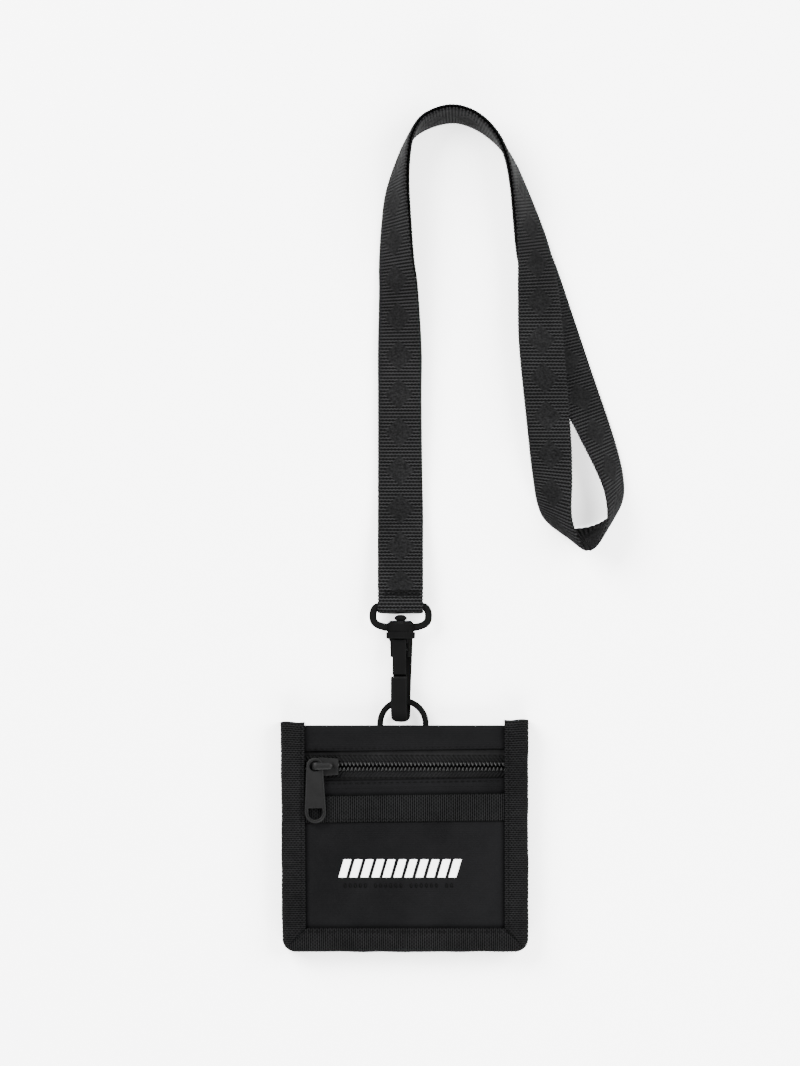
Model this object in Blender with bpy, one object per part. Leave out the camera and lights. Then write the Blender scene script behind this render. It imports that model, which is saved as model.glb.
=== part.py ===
"""Neck pouch wallet: a flat bound pouch, a D-ring, a swivel snap hook and a long webbing neck strap.

The pouch lies on its back on z = 0, with its front up (+Z) and its mouth towards +Y.
The origin is the middle of the back panel's resting face. Lengths are in millimetres
until scaled() turns them into metres. +X is to the right as the front is seen.
"""

import math

import bpy
import bmesh
from mathutils import Matrix, Vector

MM = 0.001
GAP = 0.3

# Pouch outline
POUCH_HALF_WIDTH = 55.0
POUCH_BOTTOM = -50.8
BINDING_TOP = 50.8
PANEL_TOP = 49.6
BINDING_WIDTH = 10.6
CORNER_RADIUS = 6.0
BINDING_THICK = 0.7
PANEL_INSET = 2.3
PANEL_HALF = POUCH_HALF_WIDTH - PANEL_INSET
PANEL_FLOOR = POUCH_BOTTOM + PANEL_INSET
PANEL_CORNER = CORNER_RADIUS - PANEL_INSET

# Heights of the layers, from the back to the front
BACK_THICK = 0.8
BACK_EDGE_LIFT = BINDING_THICK + GAP
DIVIDER_LEVEL = (5.4, 5.8)
TAPE_LEVEL = (7.0, 7.4)
FRONT_LEVEL = (7.7, 8.3)
COIL_LEVEL = (7.7, 9.0)
SLIP_LEVEL = (8.6, 9.1)
TRIM_LEVEL = (9.4, 9.9)
BINDING_HEIGHT = 10.9

# Rows across the front
FRONT_TOP_EDGE = 38.6
PLACKET_TOP = 25.7
SLIP_TOP = 18.8
TRIM_BOTTOM = 7.0
DIVIDER_TOP = 42.0
MOTIF_CENTRE = (-2.2, -13.7)
MOTIF_SIZE = (54.7, 8.2)
MOTIF_BARS = 11

# Zip
ZIP_Y = 31.4
TOOTH_PITCH = 1.7
TOOTH_WIDTH = 0.9
TOOTH_TIP = 0.55
TOOTH_ROOT = 1.6
COIL_EDGE = 2.1
COIL_HALF_LENGTH = 46.0
TAPE_EDGE = 0.7
TAPE_TOP = 41.5
TAPE_BOTTOM = 21.5
SLIDER_X = (-42.5, -29.5)
SLIDER_HALF_WIDTH = 4.1
SLIDER_TOP = (9.4, 10.2)
SLIDER_BASE = (6.1, 6.7)
PULL_LEVEL = (11.2, 12.4)
PULL_EYE = (-40.0, 31.7)
PULL_BOTTOM = 6.4
BRIDGE_X = (-41.3, -31.4)
BRIDGE_HALF_WIDTH = 1.35
BRIDGE_TOP = 13.6
BRIDGE_THICK = 0.9

# D-ring and its tab
RING_X = -0.9
RING_BAR = (47.2, 4.9)
RING_ARC_Y = 50.4
RING_RADIUS = 10.1
RING_WIRE = 1.4
TAB_HALF_WIDTH = 7.3
TAB_THICK = 0.8

# Swivel snap hook: its own frame has u across, y along and w towards the nose
HOOK_X = -1.9
HOOK_Z = 6.6
HOOK_TURN = math.radians(-9.0)
HOOK_HALF_WIDTH = 3.5
BOWL_CORNER = 2.2
HOOK_BOTTOM = 51.2
HOOK_OUTER = (-6.1, 6.0)
HOOK_INNER = (-4.1, 3.2)
NOSE_TIP = 71.4
LUG_HALF_WIDTH = 1.5
SPINE_EDGE = [(3.3, 58.0), (3.8, 70.0), (4.2, 80.0), (4.5, 88.7)]
CHEEK = (80.0, 88.7)
RECESS_BOTTOM = 84.0
FLANGE = (88.2, 91.0)
FLANGE_RADIUS = 6.4
GATE_PIVOT = (83.4, 1.0)
GATE_HALF_WIDTH = 3.0
GATE_TOP = 87.9
GATE_UNDERSIDE = 3.4
PIN_RADIUS = 0.7
SPRING_Y = 80.9
SPRING_RADIUS = 0.6
SPRING_WIRE = 0.17
SPRING_TURNS = 5
RIVET_RADIUS = 2.0
HUB = (91.3, 96.1)
HUB_RADIUS = 5.8
EYE_BAR_Y = 102.5
EYE_WIRE = 1.65
EYE_HALF_WIDTH = 12.35
EYE_SIDE_Y = 98.5
EYE_BOTTOM = 93.0
EYE_FULLNESS = 0.65

# Neck strap
STRAP_WIDTH = 20.0
STRAP_THICK = 1.2
STRAP_LAYER = 1.5
STRAP_STEP = 6.0
TAIL_TOP = 118.5

# The strap's route, chosen by hand. Each row is one straight line across the webbing, from its
# edge on the right of the direction of travel to its edge on the left. The front leg climbs
# from the hook, stands on edge over the arch, comes down, curls round at the low end and
# becomes the rear leg, which climbs to where it slips under the front leg again.
STRAP_ROUTE = [
    ((8.0, 103.5, 9.3), (-12.0, 103.5, 9.3)),
    ((8.0, 110.5, 9.0), (-12.0, 110.5, 9.0)),
    ((8.0, 120.5, 7.5), (-12.0, 120.5, 7.5)),
    ((8.0, 132.0, 5.5), (-12.0, 132.0, 5.5)),
    ((8.0, 145.0, 3.5), (-12.0, 145.0, 3.0)),
    ((7.5, 165.0, 4.5), (-12.0, 165.0, 2.0)),
    ((7.0, 195.0, 7.0), (-12.0, 195.0, 2.0)),
    ((7.0, 216.0, 8.0), (-12.0, 216.0, 2.0)),
    ((5.0, 243.0, 12.5), (-11.5, 242.0, 2.0)),
    ((3.0, 256.5, 15.0), (-11.5, 254.5, 1.5)),
    ((1.5, 274.0, 17.0), (-10.5, 271.0, 1.5)),
    ((0.5, 290.0, 18.5), (-8.5, 286.0, 1.2)),
    ((1.0, 303.5, 19.5), (-4.0, 299.5, 1.0)),
    ((3.0, 313.0, 20.3), (1.0, 309.5, 0.8)),
    ((8.5, 320.5, 20.2), (9.0, 315.5, 0.7)),
    ((20.0, 324.5, 19.5), (20.5, 318.5, 0.7)),
    ((31.5, 321.5, 20.0), (30.0, 316.5, 0.7)),
    ((40.5, 313.0, 20.4), (39.0, 311.0, 0.8)),
    ((45.5, 302.0, 20.0), (47.0, 302.5, 0.9)),
    ((48.0, 287.5, 19.5), (54.0, 288.5, 1.2)),
    ((50.0, 262.0, 15.8), (63.5, 264.0, 1.8)),
    ((50.0, 242.0, 14.0), (68.0, 243.0, 6.0)),
    ((50.5, 217.0, 13.5), (70.5, 217.0, 10.5)),
    ((54.5, 178.0, 9.5), (73.5, 178.0, 14.5)),
    ((56.5, 161.5, 5.5), (74.0, 159.5, 15.0)),
    ((59.0, 147.5, 2.0), (74.0, 141.0, 16.0)),
    ((63.5, 140.0, 0.8), (79.0, 128.5, 17.0)),
    ((73.5, 137.0, 0.7), (81.5, 127.5, 17.4)),
    ((84.5, 138.5, 0.7), (82.5, 127.5, 17.4)),
    ((93.5, 144.5, 0.7), (85.5, 130.5, 17.2)),
    ((97.0, 151.0, 0.7), (89.5, 140.5, 16.7)),
    ((97.0, 159.5, 0.7), (88.5, 152.5, 16.0)),
    ((95.0, 169.5, 0.7), (84.0, 164.0, 15.0)),
    ((90.5, 184.5, 0.7), (76.5, 179.0, 13.3)),
    ((82.5, 208.0, 0.7), (65.0, 203.0, 10.0)),
    ((67.5, 252.5, 0.7), (51.5, 250.0, 11.3)),
]
JOIN_ROW = 20  # the row of the front leg where the rear leg has come back under it


def smooth_curve(points, step):
    """Points about one step apart on a Catmull-Rom curve through the given six-number rows."""
    rows = [points[0]] + list(points) + [points[-1]]
    out = []
    for before, start, end, after in zip(rows, rows[1:], rows[2:], rows[3:]):
        mid = [(a + b) / 2 for a, b in zip(start[:3], start[3:])]
        mid_end = [(a + b) / 2 for a, b in zip(end[:3], end[3:])]
        pieces = max(1, round(math.dist(mid, mid_end) / step))
        for k in range(pieces):
            t = k / pieces
            out.append(
                tuple(
                    0.5 * (2 * b + (c - a) * t + (2 * a - 5 * b + 4 * c - d) * t * t
                           + (3 * b - a - 3 * c + d) * t ** 3)
                    for a, b, c, d in zip(before, start, end, after)
                )
            )
    out.append(tuple(points[-1]))
    return out


def smoothstep(t):
    t = min(1.0, max(0.0, t))
    return t * t * (3 - 2 * t)


# Materials


def material(name, colour, roughness, metallic=0.0):
    mat = bpy.data.materials.new(name)
    mat.use_nodes = True
    shader = mat.node_tree.nodes["Principled BSDF"]
    shader.inputs["Base Color"].default_value = (*colour, 1.0)
    shader.inputs["Roughness"].default_value = roughness
    shader.inputs["Metallic"].default_value = metallic
    mat.diffuse_color = (*colour, 1.0)
    return mat


# Objects


def scaled(mesh_data):
    mesh_data.transform(Matrix.Scale(MM, 4))
    return mesh_data


def add_object(name, bm, mat, parent=None):
    """Makes a named object from a bmesh that is in millimetres."""
    bmesh.ops.recalc_face_normals(bm, faces=bm.faces)
    mesh = bpy.data.meshes.new(name)
    bm.to_mesh(mesh)
    bm.free()
    scaled(mesh)
    obj = bpy.data.objects.new(name, mesh)
    if mat:
        mesh.materials.append(mat)
        mesh.shade_smooth()
        mesh.set_sharp_from_angle(angle=math.radians(35))
    bpy.context.scene.collection.objects.link(obj)
    obj.parent = parent
    return obj


def add_empty(name, location, rotation=(0, 0, 0)):
    """A pivot frame: pieces that turn together are parented to it."""
    empty = bpy.data.objects.new(name, None)
    empty.location = [v * MM for v in location]
    empty.rotation_euler = rotation
    bpy.context.scene.collection.objects.link(empty)
    return empty


def boolean(obj, operation, bm):
    """Adds a Boolean modifier whose operand is a hidden helper with the same parent."""
    helper = add_object(f"{obj.name}_{operation.lower()}_{len(obj.modifiers)}", bm, None, obj.parent)
    helper.hide_render = True
    helper.display_type = "WIRE"
    modifier = obj.modifiers.new(helper.name, "BOOLEAN")
    modifier.operation = operation
    modifier.object = helper
    return obj


# Shapes, each a bmesh in millimetres


def prism(outline, low, high, axis="z"):
    """Extrudes a closed outline from low to high along an axis; the outline's pair fills the other two."""
    place = {
        "x": lambda a, b, h: (h, a, b),
        "y": lambda a, b, h: (a, h, b),
        "z": lambda a, b, h: (a, b, h),
    }[axis]
    bm = bmesh.new()
    base = [bm.verts.new(place(a, b, low)) for a, b in outline]
    face = bm.faces.new(base)
    top = bmesh.ops.extrude_face_region(bm, geom=[face])["geom"]
    shift = Vector(place(0, 0, high - low))
    bmesh.ops.translate(bm, vec=shift, verts=[v for v in top if isinstance(v, bmesh.types.BMVert)])
    return bm


def box(x, y, z):
    return prism([(x[0], y[0]), (x[1], y[0]), (x[1], y[1]), (x[0], y[1])], *z)


def arc(centre, radius, start, end, steps):
    """Points on an arc, angles in degrees."""
    angles = [math.radians(start + (end - start) * k / steps) for k in range(steps + 1)]
    return [(centre[0] + radius * math.cos(a), centre[1] + radius * math.sin(a)) for a in angles]


def turned(profile, sides=32):
    """Turns a closed (radius, y) profile about the Y axis. The radius is never zero."""
    bm = bmesh.new()
    rings = []
    for k in range(sides):
        a = 2 * math.pi * k / sides
        rings.append([bm.verts.new((r * math.cos(a), y, r * math.sin(a))) for r, y in profile])
    join_rings(bm, rings, closed=True)
    return bm


def cylinder(radius, low, high, axis, centre=(0, 0), sides=20):
    return prism(arc(centre, radius, 0, 360 - 360 / sides, sides - 1), low, high, axis)


def join_rings(bm, rings, closed):
    """Bridges rings of equal length; an open run gets a cap at each end."""
    count = len(rings[0])
    pairs = list(zip(rings, rings[1:] + rings[:1])) if closed else list(zip(rings, rings[1:]))
    for first, second in pairs:
        for i in range(count):
            j = (i + 1) % count
            bm.faces.new((first[i], first[j], second[j], second[i]))
    if not closed:
        bm.faces.new(rings[0])
        bm.faces.new(rings[-1])


def wire_loop(path, radius, sides=10):
    """A round wire along a closed path that lies in a plane of constant z."""
    bm = bmesh.new()
    rings = []
    count = len(path)
    for k, (x, y) in enumerate(path):
        ahead, behind = path[(k + 1) % count], path[k - 1]
        along = Vector((ahead[0] - behind[0], ahead[1] - behind[1], 0)).normalized()
        side = Vector((-along.y, along.x, 0))
        ring = []
        for i in range(sides):
            a = 2 * math.pi * (i + 0.5) / sides
            ring.append(bm.verts.new(Vector((x, y, 0)) + side * radius * math.cos(a)
                                     + Vector((0, 0, radius * math.sin(a)))))
        rings.append(ring)
    join_rings(bm, rings, closed=True)
    return bm


def webbing(rows, thick):
    """A flat strip through rows of (right edge, left edge) points."""
    bm = bmesh.new()
    rings = []
    for k, row in enumerate(rows):
        right, left = Vector(row[:3]), Vector(row[3:])
        ahead, behind = rows[min(k + 1, len(rows) - 1)], rows[max(k - 1, 0)]
        along = (Vector(ahead[:3]) + Vector(ahead[3:]) - Vector(behind[:3]) - Vector(behind[3:]))
        normal = (right - left).cross(along).normalized() * thick / 2
        ring = [right - normal, right + normal, left + normal, left - normal]
        rings.append([bm.verts.new(p) for p in ring])
    join_rings(bm, rings, closed=False)
    return bm


# Pouch


def panel_outline(low, high):
    """A panel's outline, with its lower corners rounded where it reaches into the binding's corners."""
    half, radius = PANEL_HALF, PANEL_CORNER
    if low > PANEL_FLOOR:
        return [(-half, low), (half, low), (half, high), (-half, high)]
    left = arc((-half + radius, low + radius), radius, 180, 270, 4)
    right = arc((half - radius, low + radius), radius, 270, 360, 4)
    return left + right + [(half, high), (-half, high)]


def make_back_panel(mat):
    """A shallow tray: its middle rests on z = 0 and its margins are lifted over the binding's rear flap."""
    inset_start = BINDING_WIDTH + GAP
    inset_end = inset_start + 4.0
    half, low, corner = PANEL_HALF, PANEL_FLOOR, PANEL_CORNER
    insets = [PANEL_INSET, 3.6, CORNER_RADIUS, inset_start]
    insets += [inset_start + (inset_end - inset_start) * k / 4 for k in (1, 2, 3, 4)]
    xs = [inset - POUCH_HALF_WIDTH for inset in insets]
    xs += [-x for x in reversed(xs)]
    ys = [POUCH_BOTTOM + inset for inset in insets] + [PANEL_TOP]
    bm = bmesh.new()
    layers = []
    for thick in (0.0, BACK_THICK):
        grid = []
        for y in ys:
            row = []
            for x in xs:
                inset = min(POUCH_HALF_WIDTH - abs(x), y - POUCH_BOTTOM)
                rise = 1 - smoothstep((inset - inset_start) / (inset_end - inset_start))
                point = Vector((x, y))
                centre = Vector((math.copysign(half - corner, x), low + corner))
                if abs(x) > half - corner and y < low + corner:
                    reach = (point - centre).length
                    point = centre + (point - centre) * (corner / max(reach, corner))
                row.append(bm.verts.new((*point, rise * BACK_EDGE_LIFT + thick)))
            grid.append(row)
        layers.append(grid)
    for grid in layers:
        for lower, upper in zip(grid, grid[1:]):
            for i in range(len(xs) - 1):
                bm.faces.new((lower[i], lower[i + 1], upper[i + 1], upper[i]))
    rims = []
    for grid in layers:
        rim = grid[0] + [row[-1] for row in grid[1:]] + grid[-1][-2::-1]
        rims.append(rim + [row[0] for row in grid[-2:0:-1]])
    for i in range(len(rims[0])):
        j = (i + 1) % len(rims[0])
        bm.faces.new((rims[0][i], rims[0][j], rims[1][j], rims[1][i]))
    return add_object("back_panel", bm, mat)


def make_binding(mat):
    """One tape folded over the left, lower and right edges: a channel section swept round a U."""
    round_off = 1.6
    top = BINDING_HEIGHT
    inner = BINDING_THICK
    section = [(d, z) for d, z in arc((round_off, round_off), round_off, 270, 180, 3)]
    section += arc((round_off, top - round_off), round_off, 180, 90, 3)
    section += [(BINDING_WIDTH, top), (BINDING_WIDTH, top - inner), (inner + 1.2, top - inner)]
    section += [(inner, top - inner - 1.2), (inner, inner + 1.2), (inner + 1.2, inner)]
    section += [(BINDING_WIDTH, inner), (BINDING_WIDTH, 0.0)]
    bm = bmesh.new()
    rings = []

    def station(side, angle, y=None):
        """One section: beside the pouch where y is given, otherwise round a lower corner."""
        ring = []
        for inset, z in section:
            if y is not None:
                point = (side * (POUCH_HALF_WIDTH - inset), y)
            else:
                radius = max(CORNER_RADIUS - inset, GAP)
                reach = inset + radius
                x = side * (POUCH_HALF_WIDTH - reach + radius * math.cos(angle))
                point = (x, POUCH_BOTTOM + reach - radius * math.sin(angle))
            ring.append(bm.verts.new((*point, z)))
        rings.append(ring)

    station(-1, 0, BINDING_TOP)
    for k in range(6):
        station(-1, math.radians(18 * k))
    for k in range(5, -1, -1):
        station(1, math.radians(18 * k))
    station(1, 0, BINDING_TOP)
    join_rings(bm, rings, closed=False)
    return add_object("edge_binding", bm, mat)


def make_panels(fabric, ribbed):
    make_back_panel(fabric)
    for name, low, high, level, mat in (
        ("divider_panel", PANEL_FLOOR, DIVIDER_TOP, DIVIDER_LEVEL, fabric),
        ("front_top_panel", FRONT_TOP_EDGE, PANEL_TOP, FRONT_LEVEL, fabric),
        ("front_lower_panel", PANEL_FLOOR, PLACKET_TOP, FRONT_LEVEL, fabric),
        ("slip_pocket_panel", PANEL_FLOOR, SLIP_TOP, SLIP_LEVEL, fabric),
        ("slip_pocket_trim", TRIM_BOTTOM, SLIP_TOP, TRIM_LEVEL, ribbed),
        ("zip_tape_upper", ZIP_Y + TAPE_EDGE, TAPE_TOP, TAPE_LEVEL, ribbed),
        ("zip_tape_lower", TAPE_BOTTOM, ZIP_Y - TAPE_EDGE, TAPE_LEVEL, ribbed),
    ):
        add_object(name, prism(panel_outline(low, high), *level), mat)


def make_motif(mat):
    """A raised band with slanted slots, standing in for the pouch's printed mark."""
    (cx, cy), (wide, tall) = MOTIF_CENTRE, MOTIF_SIZE
    rail, slant = 0.9, 1.6
    level = (TRIM_LEVEL[0], TRIM_LEVEL[0] + 0.4)
    band = box((cx - wide / 2, cx + wide / 2), (cy - tall / 2, cy + tall / 2), level)
    motif = add_object("front_motif", band, mat)
    pitch = wide / MOTIF_BARS
    low, high = cy - tall / 2 + rail, cy + tall / 2 - rail
    cutter = bmesh.new()
    for k in range(1, MOTIF_BARS):
        x = cx - wide / 2 + k * pitch
        slot = [(x - slant - 0.5, low), (x - slant + 0.7, low)]
        slot += [(x + slant + 0.5, high), (x + slant - 0.7, high)]
        lows = [cutter.verts.new((*p, level[0] - 1)) for p in slot]
        highs = [cutter.verts.new((*p, level[1] + 1)) for p in slot]
        cutter.faces.new(lows)
        cutter.faces.new(highs)
        for i in range(4):
            j = (i + 1) % 4
            cutter.faces.new((lows[i], lows[j], highs[j], highs[i]))
    boolean(motif, "DIFFERENCE", cutter)


def make_ring_tab(mat):
    """Webbing folded round the D-ring's bar, its two ends sewn to the back panel."""
    y, z = RING_BAR
    wrap_radius = RING_WIRE + 0.25 + TAB_THICK / 2
    wrap = arc((y, z), wrap_radius, 120, -120, 12)
    front = [(31.0, 2.8), (36.0, 2.8), (41.5, 2.9), (44.6, 4.3)]
    rear = [(44.6, 2.0), (41.0, 1.65), (36.0, 1.6), (31.0, 1.6)]
    right, left = RING_X + TAB_HALF_WIDTH, RING_X - TAB_HALF_WIDTH
    rows = [(right, a, b, left, a, b) for a, b in front + wrap + rear]
    add_object("ring_tab", webbing(rows, TAB_THICK), mat)


# Zip


def make_coils(mat):
    """Each row of the zip is a toothed strip. The two stay a hair apart, for the slider's post to pass."""
    count = int(2 * COIL_HALF_LENGTH / TOOTH_PITCH)
    start = -count * TOOTH_PITCH / 2
    for name, side, shift in (("zip_coil_upper", 1, 0.0), ("zip_coil_lower", -1, TOOTH_PITCH / 2)):
        outline = [(end, ZIP_Y + side * COIL_EDGE) for end in (COIL_HALF_LENGTH, -COIL_HALF_LENGTH)]
        outline.append((-COIL_HALF_LENGTH, ZIP_Y + side * TOOTH_ROOT))
        for k in range(count):
            x = start + k * TOOTH_PITCH + shift + (TOOTH_PITCH - TOOTH_WIDTH) / 4
            flank = 0.15
            outline.append((x, ZIP_Y + side * TOOTH_ROOT))
            outline.append((x + flank, ZIP_Y + side * TOOTH_TIP))
            outline.append((x + TOOTH_WIDTH - flank, ZIP_Y + side * TOOTH_TIP))
            outline.append((x + TOOTH_WIDTH, ZIP_Y + side * TOOTH_ROOT))
        outline.append((COIL_HALF_LENGTH, ZIP_Y + side * TOOTH_ROOT))
        add_object(name, prism(outline, *COIL_LEVEL), mat)


def slider_outline(grow):
    """Slider plate seen from the front: round at its wide end, straight at its narrow end."""
    left, right = SLIDER_X
    wide = SLIDER_HALF_WIDTH + grow
    narrow = wide - 0.5
    outline = [(right, ZIP_Y - narrow), (right, ZIP_Y + narrow), (left + 5.5, ZIP_Y + wide)]
    outline += [(left + 2.2, ZIP_Y + wide - 0.4), (left + 0.6, ZIP_Y + 2.4), (left, ZIP_Y + 1.0)]
    outline += [(left, ZIP_Y - 1.0), (left + 0.6, ZIP_Y - 2.4), (left + 2.2, ZIP_Y - wide + 0.4)]
    return outline + [(left + 5.5, ZIP_Y - wide)]


def make_slider(mat):
    body = add_object("slider_body", prism(slider_outline(0), *SLIDER_TOP), mat)
    boolean(body, "UNION", prism(slider_outline(-0.3), *SLIDER_BASE))
    left, right = SLIDER_X
    for side in (1, -1):
        rows = sorted((ZIP_Y + side * 2.7, ZIP_Y + side * 3.4))
        boolean(body, "UNION", box((left + 3.0, right), rows, (COIL_LEVEL[0], SLIDER_TOP[0] + 0.2)))
    post_levels = (SLIDER_BASE[1] - 0.2, SLIDER_TOP[0] + 0.2)
    boolean(body, "UNION", box((left + 0.8, left + 3.0), (ZIP_Y - 0.25, ZIP_Y + 0.25), post_levels))


def make_bridge(mat):
    left, right = BRIDGE_X
    foot = SLIDER_TOP[1] + GAP
    under = BRIDGE_TOP - BRIDGE_THICK
    outline = [(left, foot), (left + 1.1, foot), (left + 1.3, under - 0.4), (left + 1.8, under)]
    outline += [(right - 1.8, under), (right - 1.3, under - 0.4), (right - 1.0, foot), (right, foot)]
    outline += [(right, under), (right - 0.9, BRIDGE_TOP - 0.1), (right - 2.0, BRIDGE_TOP)]
    outline += [(left + 2.0, BRIDGE_TOP), (left + 0.9, BRIDGE_TOP - 0.1), (left, under)]
    span = (PULL_EYE[1] - BRIDGE_HALF_WIDTH, PULL_EYE[1] + BRIDGE_HALF_WIDTH)
    add_object("slider_bridge", prism(outline, *span, axis="y"), mat)


def make_pull(mat):
    """A tapered plate with a round eye at the top and a D-shaped hole at its round lower end."""
    x, y = PULL_EYE
    eye, hole, tip = 3.7, 2.4, 4.75
    low = PULL_BOTTOM + tip
    outline = arc((x, y), eye, 0, 180, 12) + [(x - 3.9, y - 4.0)]
    outline += arc((x + 0.3, low), tip, 180, 360, 14) + [(x + 3.9, y - 4.0)]
    pull = add_object("pull_tab", prism(outline, *PULL_LEVEL), mat)
    deep = (PULL_LEVEL[0] - 1, PULL_LEVEL[1] + 1)
    boolean(pull, "DIFFERENCE", cylinder(hole, *deep, "z", PULL_EYE, 24))
    grip = arc((x + 0.3, low + 0.2), tip - 1.15, 180, 360, 14) + [(x + 3.6, low + 1.9), (x - 3.0, low + 1.9)]
    boolean(pull, "DIFFERENCE", prism(grip, *deep))


# Hardware


def make_ring(mat):
    """D-ring: a straight bar, two short legs and a half circle."""
    bar_y, z = RING_BAR
    corner = 2.0
    path = arc((0, RING_ARC_Y), RING_RADIUS, 0, 180, 24)
    path += arc((-RING_RADIUS + corner, bar_y + corner), corner, 180, 270, 4)
    path += arc((RING_RADIUS - corner, bar_y + corner), corner, 270, 360, 4)
    frame = add_empty("ring_frame", (RING_X, 0, z))
    add_object("d_ring", wire_loop(path, RING_WIRE), mat, frame)


def make_hook(mat, frame):
    """The hook's side view, extruded, with a neck and a flange turned about its long axis."""
    (back, nose), (back_in, nose_in) = HOOK_OUTER, HOOK_INNER
    outer = (nose - back) / 2
    inner = (nose_in - back_in) / 2
    bowl_y = HOOK_BOTTOM + outer
    outline = [(FLANGE[0] - 1.0, back + 1.6), (FLANGE[0] - 3.5, back)]
    outline += arc((bowl_y, (back + nose) / 2), outer, 270, 90, 16)
    outline += [(NOSE_TIP - 0.8, nose), (NOSE_TIP, nose - 0.8)]
    outline += [(NOSE_TIP, nose_in + 0.5), (NOSE_TIP - 0.5, nose_in)]
    outline += arc((bowl_y, (back_in + nose_in) / 2), inner, 90, 270, 12)
    outline += [(FLANGE[0] - 9.0, back_in), (FLANGE[0] - 1.0, back_in)]
    half = HOOK_HALF_WIDTH
    hook = add_object("hook_body", prism(outline, -half, half, "x"), mat, frame)
    corner = half - BOWL_CORNER
    plan = arc((-corner, HOOK_BOTTOM + BOWL_CORNER), BOWL_CORNER, 180, 270, 6)
    plan += arc((corner, HOOK_BOTTOM + BOWL_CORNER), BOWL_CORNER, 270, 360, 6)
    plan += [(half, FLANGE[1]), (-half, FLANGE[1])]
    boolean(hook, "INTERSECT", prism(plan, back - 1.0, nose + 1.0))
    pivot_y, pivot_w = GATE_PIVOT
    lug = [(79.2, back_in - 0.5), (79.2, 0.2), (82.3, 2.0), (83.0, pivot_w + 1.6), (84.6, pivot_w + 1.6)]
    lug += [(85.4, 2.2), (FLANGE[0], 2.2), (FLANGE[0], back_in - 0.5)]
    boolean(hook, "UNION", prism(lug, -LUG_HALF_WIDTH, LUG_HALF_WIDTH, "x"))
    spine = SPINE_EDGE + [(-u, y) for u, y in reversed(SPINE_EDGE)]
    boolean(hook, "UNION", prism(spine, back, back_in))
    inner_face = GATE_HALF_WIDTH + GAP
    for side in (1, -1):
        cheek = [(inner_face, CHEEK[0]), (4.2, CHEEK[0]), (4.5, CHEEK[1]), (inner_face, CHEEK[1])]
        boolean(hook, "UNION", prism([(side * u, y) for u, y in cheek], back_in - 0.5, 2.4))
    r = FLANGE_RADIUS
    head = [(RIVET_RADIUS + GAP, 86.4), (4.4, 86.1), (r - 1.2, FLANGE[0] - 0.3), (r, FLANGE[0] + 0.2)]
    head += [(r, FLANGE[1]), (RIVET_RADIUS + GAP, FLANGE[1]), (RIVET_RADIUS + GAP, 87.6)]
    solid_head = [(0.01, y) if radius < 3 else (radius, y) for radius, y in head]
    boolean(hook, "UNION", turned(solid_head))
    recess = box((-inner_face, inner_face), (RECESS_BOTTOM, FLANGE[0]), (GATE_UNDERSIDE - GAP, nose + 3.0))
    boolean(hook, "DIFFERENCE", recess)
    boolean(hook, "DIFFERENCE", cylinder(RIVET_RADIUS + GAP, 87.2, FLANGE[1] + 1, "y"))
    boolean(hook, "DIFFERENCE", cylinder(PIN_RADIUS + GAP, -5, 5, "x", GATE_PIVOT, 14))
    pocket = SPRING_RADIUS + SPRING_WIRE + GAP
    boolean(hook, "DIFFERENCE", cylinder(pocket, -2.8, 4.0, "z", (0, SPRING_Y), 14))


def make_gate(mat, steel, frame):
    """The gate: a plate behind the nose with two ears that hold it on its pin."""
    y, w = GATE_PIVOT
    profile = [(69.7, 1.6), (69.7, 2.5), (70.0, 2.8), (71.8, 2.8), (72.2, 3.3), (72.2, 4.3), (72.5, 4.6)]
    profile += [(GATE_TOP - 0.3, 4.6), (GATE_TOP, 4.3), (GATE_TOP, GATE_UNDERSIDE)]
    profile += [(73.6, GATE_UNDERSIDE), (72.8, 1.6)]
    half = GATE_HALF_WIDTH
    gate = add_object("gate_lever", prism(profile, -half, half, "x"), mat, frame)
    ear = [(y - 2.0, 3.6), (y - 1.9, w), (y - 1.3, w - 1.4), (y, w - 1.9)]
    ear += [(y + 1.3, w - 1.4), (y + 1.9, w), (y + 2.0, 3.6)]
    for side in (1, -1):
        faces = sorted((side * (LUG_HALF_WIDTH + GAP), side * half))
        boolean(gate, "UNION", prism(ear, *faces, axis="x"))
    boolean(gate, "DIFFERENCE", cylinder(PIN_RADIUS + GAP, -5, 5, "x", GATE_PIVOT, 14))
    add_object("gate_pin", cylinder(PIN_RADIUS, -half, half, "x", GATE_PIVOT, 12), steel, frame)


def make_spring(steel, frame):
    """A small coil spring in the lug's pocket, pushing the gate shut."""
    low, high = -2.4, 3.1
    steps = 10
    bm = bmesh.new()
    rings = []
    total = SPRING_TURNS * steps
    for k in range(total + 1):
        a = 2 * math.pi * k / steps
        out = Vector((math.cos(a), math.sin(a), 0))
        rise = low + SPRING_WIRE + (high - low - 2 * SPRING_WIRE) * k / total
        centre = out * SPRING_RADIUS + Vector((0, SPRING_Y, rise))
        ring = []
        for i in range(6):
            b = 2 * math.pi * i / 6
            offset = out * SPRING_WIRE * math.cos(b) + Vector((0, 0, SPRING_WIRE * math.sin(b)))
            ring.append(bm.verts.new(centre + offset))
        rings.append(ring)
    join_rings(bm, rings, closed=False)
    add_object("gate_spring", bm, steel, frame)


def make_rivet(mat, frame):
    """The swivel post: a shank through the eye's hub and a domed head above it."""
    head = HUB[1] + 0.4
    profile = [(0.05, 87.6), (RIVET_RADIUS, 87.6), (RIVET_RADIUS, head), (2.75, head), (2.75, head + 0.9)]
    profile += [(2.3, head + 1.6), (1.3, head + 2.1), (0.05, head + 2.2)]
    bm = turned(profile, 24)
    bmesh.ops.remove_doubles(bm, verts=bm.verts, dist=0.02)
    bmesh.ops.holes_fill(bm, edges=bm.edges)
    add_object("swivel_rivet", bm, mat, frame)


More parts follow.
